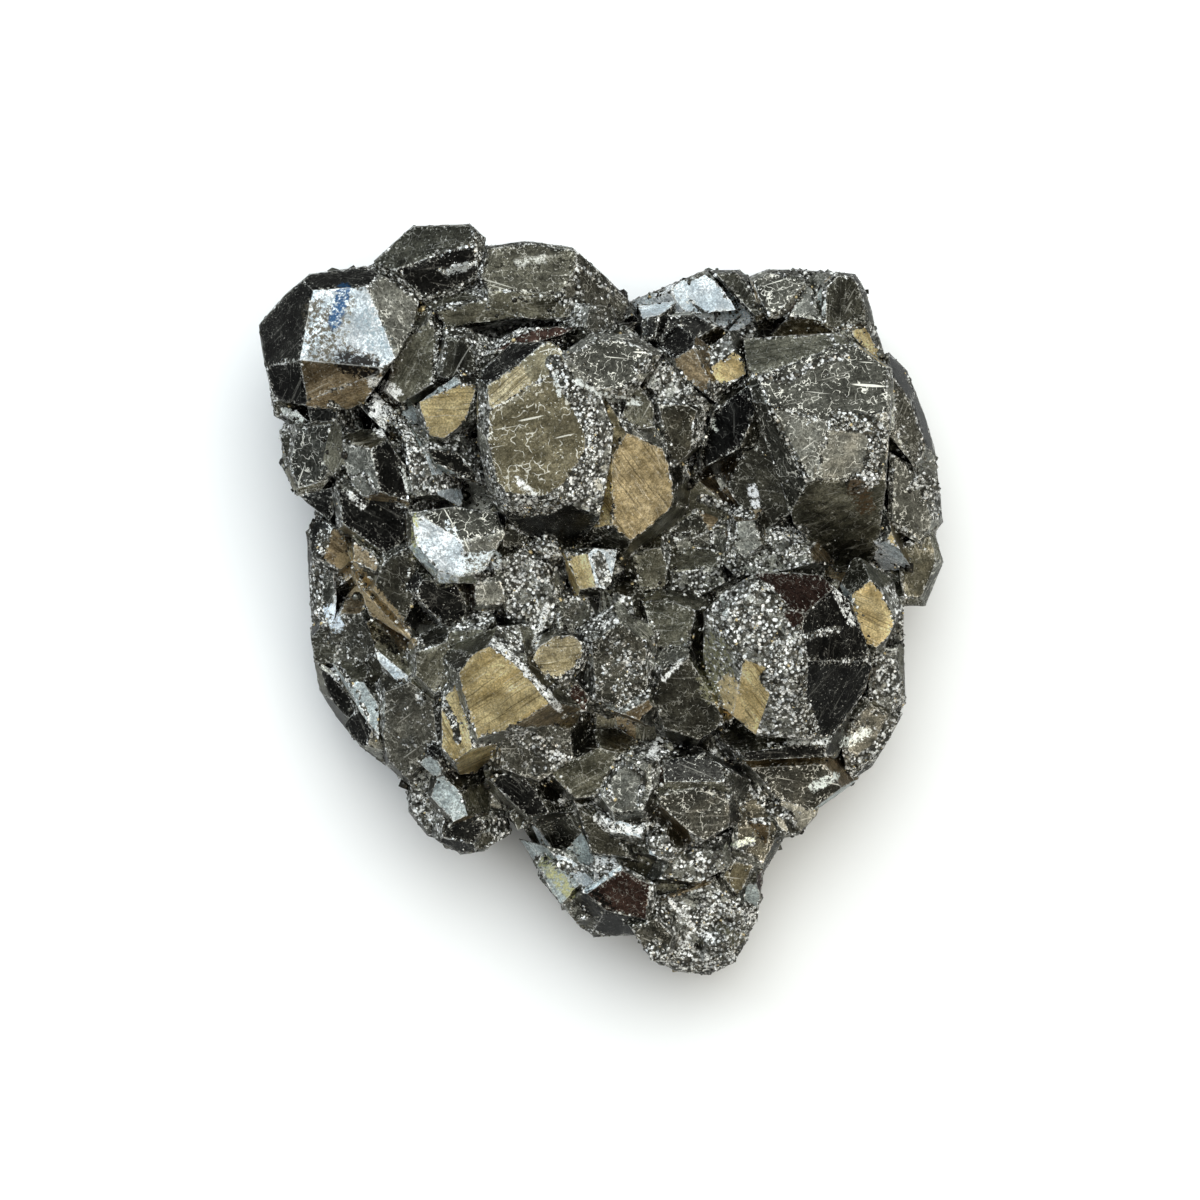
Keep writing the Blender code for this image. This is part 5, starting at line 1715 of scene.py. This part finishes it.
@dataclass
class Studio:
    """A plain white floor, soft lights and a surround that is cool at the upper left and warm at the
    lower right.

    Attributes:
        floor_half: half the floor's width, in millimetres.
        floor_colour: colour of the floor.
        backdrop: brightness of the surround as the camera sees it.
        mirrored: brightness of the surround in reflections, low down and overhead.
        fill: brightness of the surround as light on the floor, at its least and greatest.
        fill_way: direction in which the fill is greatest.
        mirrored_floor: brightness of the floor in reflections, as a share.
        cool: tint of the surround at the upper left.
        warm: tint of the surround at the lower right.
        lights: the soft lights.
    """

    floor_half: float = 900.0
    floor_colour: Colour = (0.90, 0.90, 0.90)
    backdrop: float = 1.0
    mirrored: tuple[float, float] = (0.44, 0.50)
    fill: tuple[float, float] = (0.10, 3.0)
    fill_way: tuple[float, float, float] = (0.10, 0.42, 0.90)
    mirrored_floor: float = 0.36
    cool: Colour = (0.92, 1.0, 1.05)
    warm: Colour = (1.05, 1.02, 0.91)
    lights: tuple[SoftLight, ...] = (
        SoftLight("top_light", (0.03, 0.40, 0.76), (0.55, 0.45), 1.3, (0.98, 1.0, 0.97)),
        SoftLight("window_light", (-0.60, 0.35, 0.42), (0.30, 0.50), 1.4, (0.80, 0.90, 1.0)),
        SoftLight("warm_light", (0.50, -0.50, 0.55), (0.28, 0.28), 0.8, (1.0, 0.90, 0.76)),
    )

    def build(self) -> None:
        """Builds the floor, the lights and the surround."""
        half = self.floor_half
        corners = np.array([(-half, -half, 0.0), (half, -half, 0.0), (half, half, 0.0), (-half, half, 0.0)])
        floor = mesh_object("studio_floor", corners, np.array([(0, 1, 2), (0, 2, 3)]))
        paint, w = new_material("studio_white")
        darker = tuple(part * self.mirrored_floor for part in self.floor_colour)
        colour = w.blend(w.node("LightPath").outputs["Is Glossy Ray"], self.floor_colour, darker)
        w.shade(Base_Color=colour, Roughness=0.9)
        floor.data.materials.append(paint)
        for light in self.lights:
            self.add_light(light)
        self.add_surround()
        LOG.info("studio: floor and %d lights", len(self.lights))

    def add_light(self, light: SoftLight) -> None:
        """Adds a soft light that points at the cluster and that the camera does not see.

        Args:
            light: the light.
        """
        data = bpy.data.lights.new(light.name, "AREA")
        data.shape = "RECTANGLE"
        data.size, data.size_y = light.size
        data.energy = light.power
        data.color = light.colour
        lamp = bpy.data.objects.new(light.name, data)
        lamp.location = light.place
        lamp.rotation_euler = (-Vector(light.place)).to_track_quat("-Z", "Y").to_euler()
        lamp.visible_camera = False
        bpy.context.scene.collection.objects.link(lamp)

    def add_surround(self) -> None:
        """Makes the surround: white to the camera, even in reflections, and as light on the floor
        brighter from above the picture, so that the shadow falls below the cluster."""
        world = bpy.data.worlds.new("studio_surround")
        bpy.context.scene.world = world
        world.use_nodes = True
        world.node_tree.nodes.clear()
        w = Wiring(world.node_tree)
        way = w.node("TexCoord").outputs["Generated"]
        apart = w.node("SeparateXYZ", Vector=way).outputs
        path = w.node("LightPath").outputs
        mirrored = w.step(apart["Z"], 0.3, 0.95, *self.mirrored)
        toward = w.node("VectorMath", {"operation": "DOT_PRODUCT"})
        w.join(way, toward.inputs[0])
        w.join(self.fill_way, toward.inputs[1])
        fill = w.step(toward.outputs["Value"], 0.55, 1.0, *self.fill)
        strength = w.blend(path["Is Diffuse Ray"], mirrored, fill, "FLOAT")
        strength = w.blend(path["Is Camera Ray"], strength, self.backdrop, "FLOAT")
        slant = w.step(w.less(apart["X"], apart["Y"]), -1.0, 1.0)
        tint = w.blend(slant, self.cool, self.warm)
        tint = w.blend(path["Is Camera Ray"], tint, (1.0, 1.0, 1.0))
        light = w.node("Background", Color=tint, Strength=strength)
        w.node("OutputWorld", Surface=light.outputs[0])
        bpy.context.scene.view_settings.view_transform = "Standard"


def build_druses(skin: CrystalSkin) -> None:
    """Lays the small crystals along the bands of grains, in the crevices and on the broken matrix.

    Args:
        skin: the finished skin.
    """
    net = skin.net
    normals, _ = face_normals(net.points, net.faces)
    band = skin.band[net.faces].mean(axis=1)
    valley = skin.valley[net.faces].mean(axis=1)
    slots = skin.finish[net.owner]
    upward = eased(normals[:, 2], -0.1, 0.35)
    silver = slots == Finish.SILVER.value
    broken = (slots == Finish.BROKEN.value) & (normals[:, 2] > -0.9)
    middles = net.points[net.faces].mean(axis=1)
    coarse_cloud = wave_noise(middles, 1.5, Seed.CLOUDS)
    fine_cloud = wave_noise(middles, 0.6, Seed.FINE_CLOUDS)
    cloud = eased(coarse_cloud + 0.6 * fine_cloud, -0.6, 1.2)
    dark = (skin.stain * (skin.stain_colour.max(axis=1) < 0.15))[net.faces].mean(axis=1)
    free = 1.0 - 0.95 * eased(dark, 0.2, 0.6)
    seams = (band * band + 0.14 * silver * upward) * (0.12 + cloud) * free
    crevices = (1.0 - eased(valley, 0.1, 0.8)) * upward

    bright = DruseFinish().material("druse_bright")
    # Painted shade: the crystals in the crevices get a darker copy of the druse finish
    dim = DruseFinish(black_share=0.25, silver_from=0.5, silver_to=1.1).material("druse_dim")
    dull = DruseFinish(black_share=0.4, silver_from=0.7, silver_to=1.3).material("druse_matrix")
    Druse("ridge_druse", skin, {Habit.CUBE: 7000, Habit.OCTAHEDRON: 5000, Habit.PYRITOHEDRON: 1100},
          radius=(0.06, 0.18), sunk=0.5, seed=Seed.RIDGE_DRUSE).build(seams, bright)
    Druse("crevice_druse", skin, {Habit.CUBE: 3800, Habit.OCTAHEDRON: 1600, Habit.PYRITOHEDRON: 900},
          radius=(0.07, 0.24), sunk=0.3, seed=Seed.CREVICE_DRUSE).build(crevices, dim)
    Druse("matrix_druse", skin, {Habit.CUBE: 2600, Habit.OCTAHEDRON: 900, Habit.PYRITOHEDRON: 900},
          radius=(0.15, 0.55), sunk=0.35, seed=Seed.MATRIX_DRUSE).build(broken.astype(float), dull)


def main() -> None:
    """Builds the specimen and the studio around it."""
    logging.basicConfig(level=logging.INFO, format="%(name)s: %(message)s")
    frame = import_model()
    view = PhotoView()
    skin = CrystalSkin(frame["nodes"][CLUSTER_NODE], view)
    skin.build(FinishMaker(Effects()))
    build_druses(skin)
    Studio().build()
    view.camera()


if __name__ == "__main__":
    main()
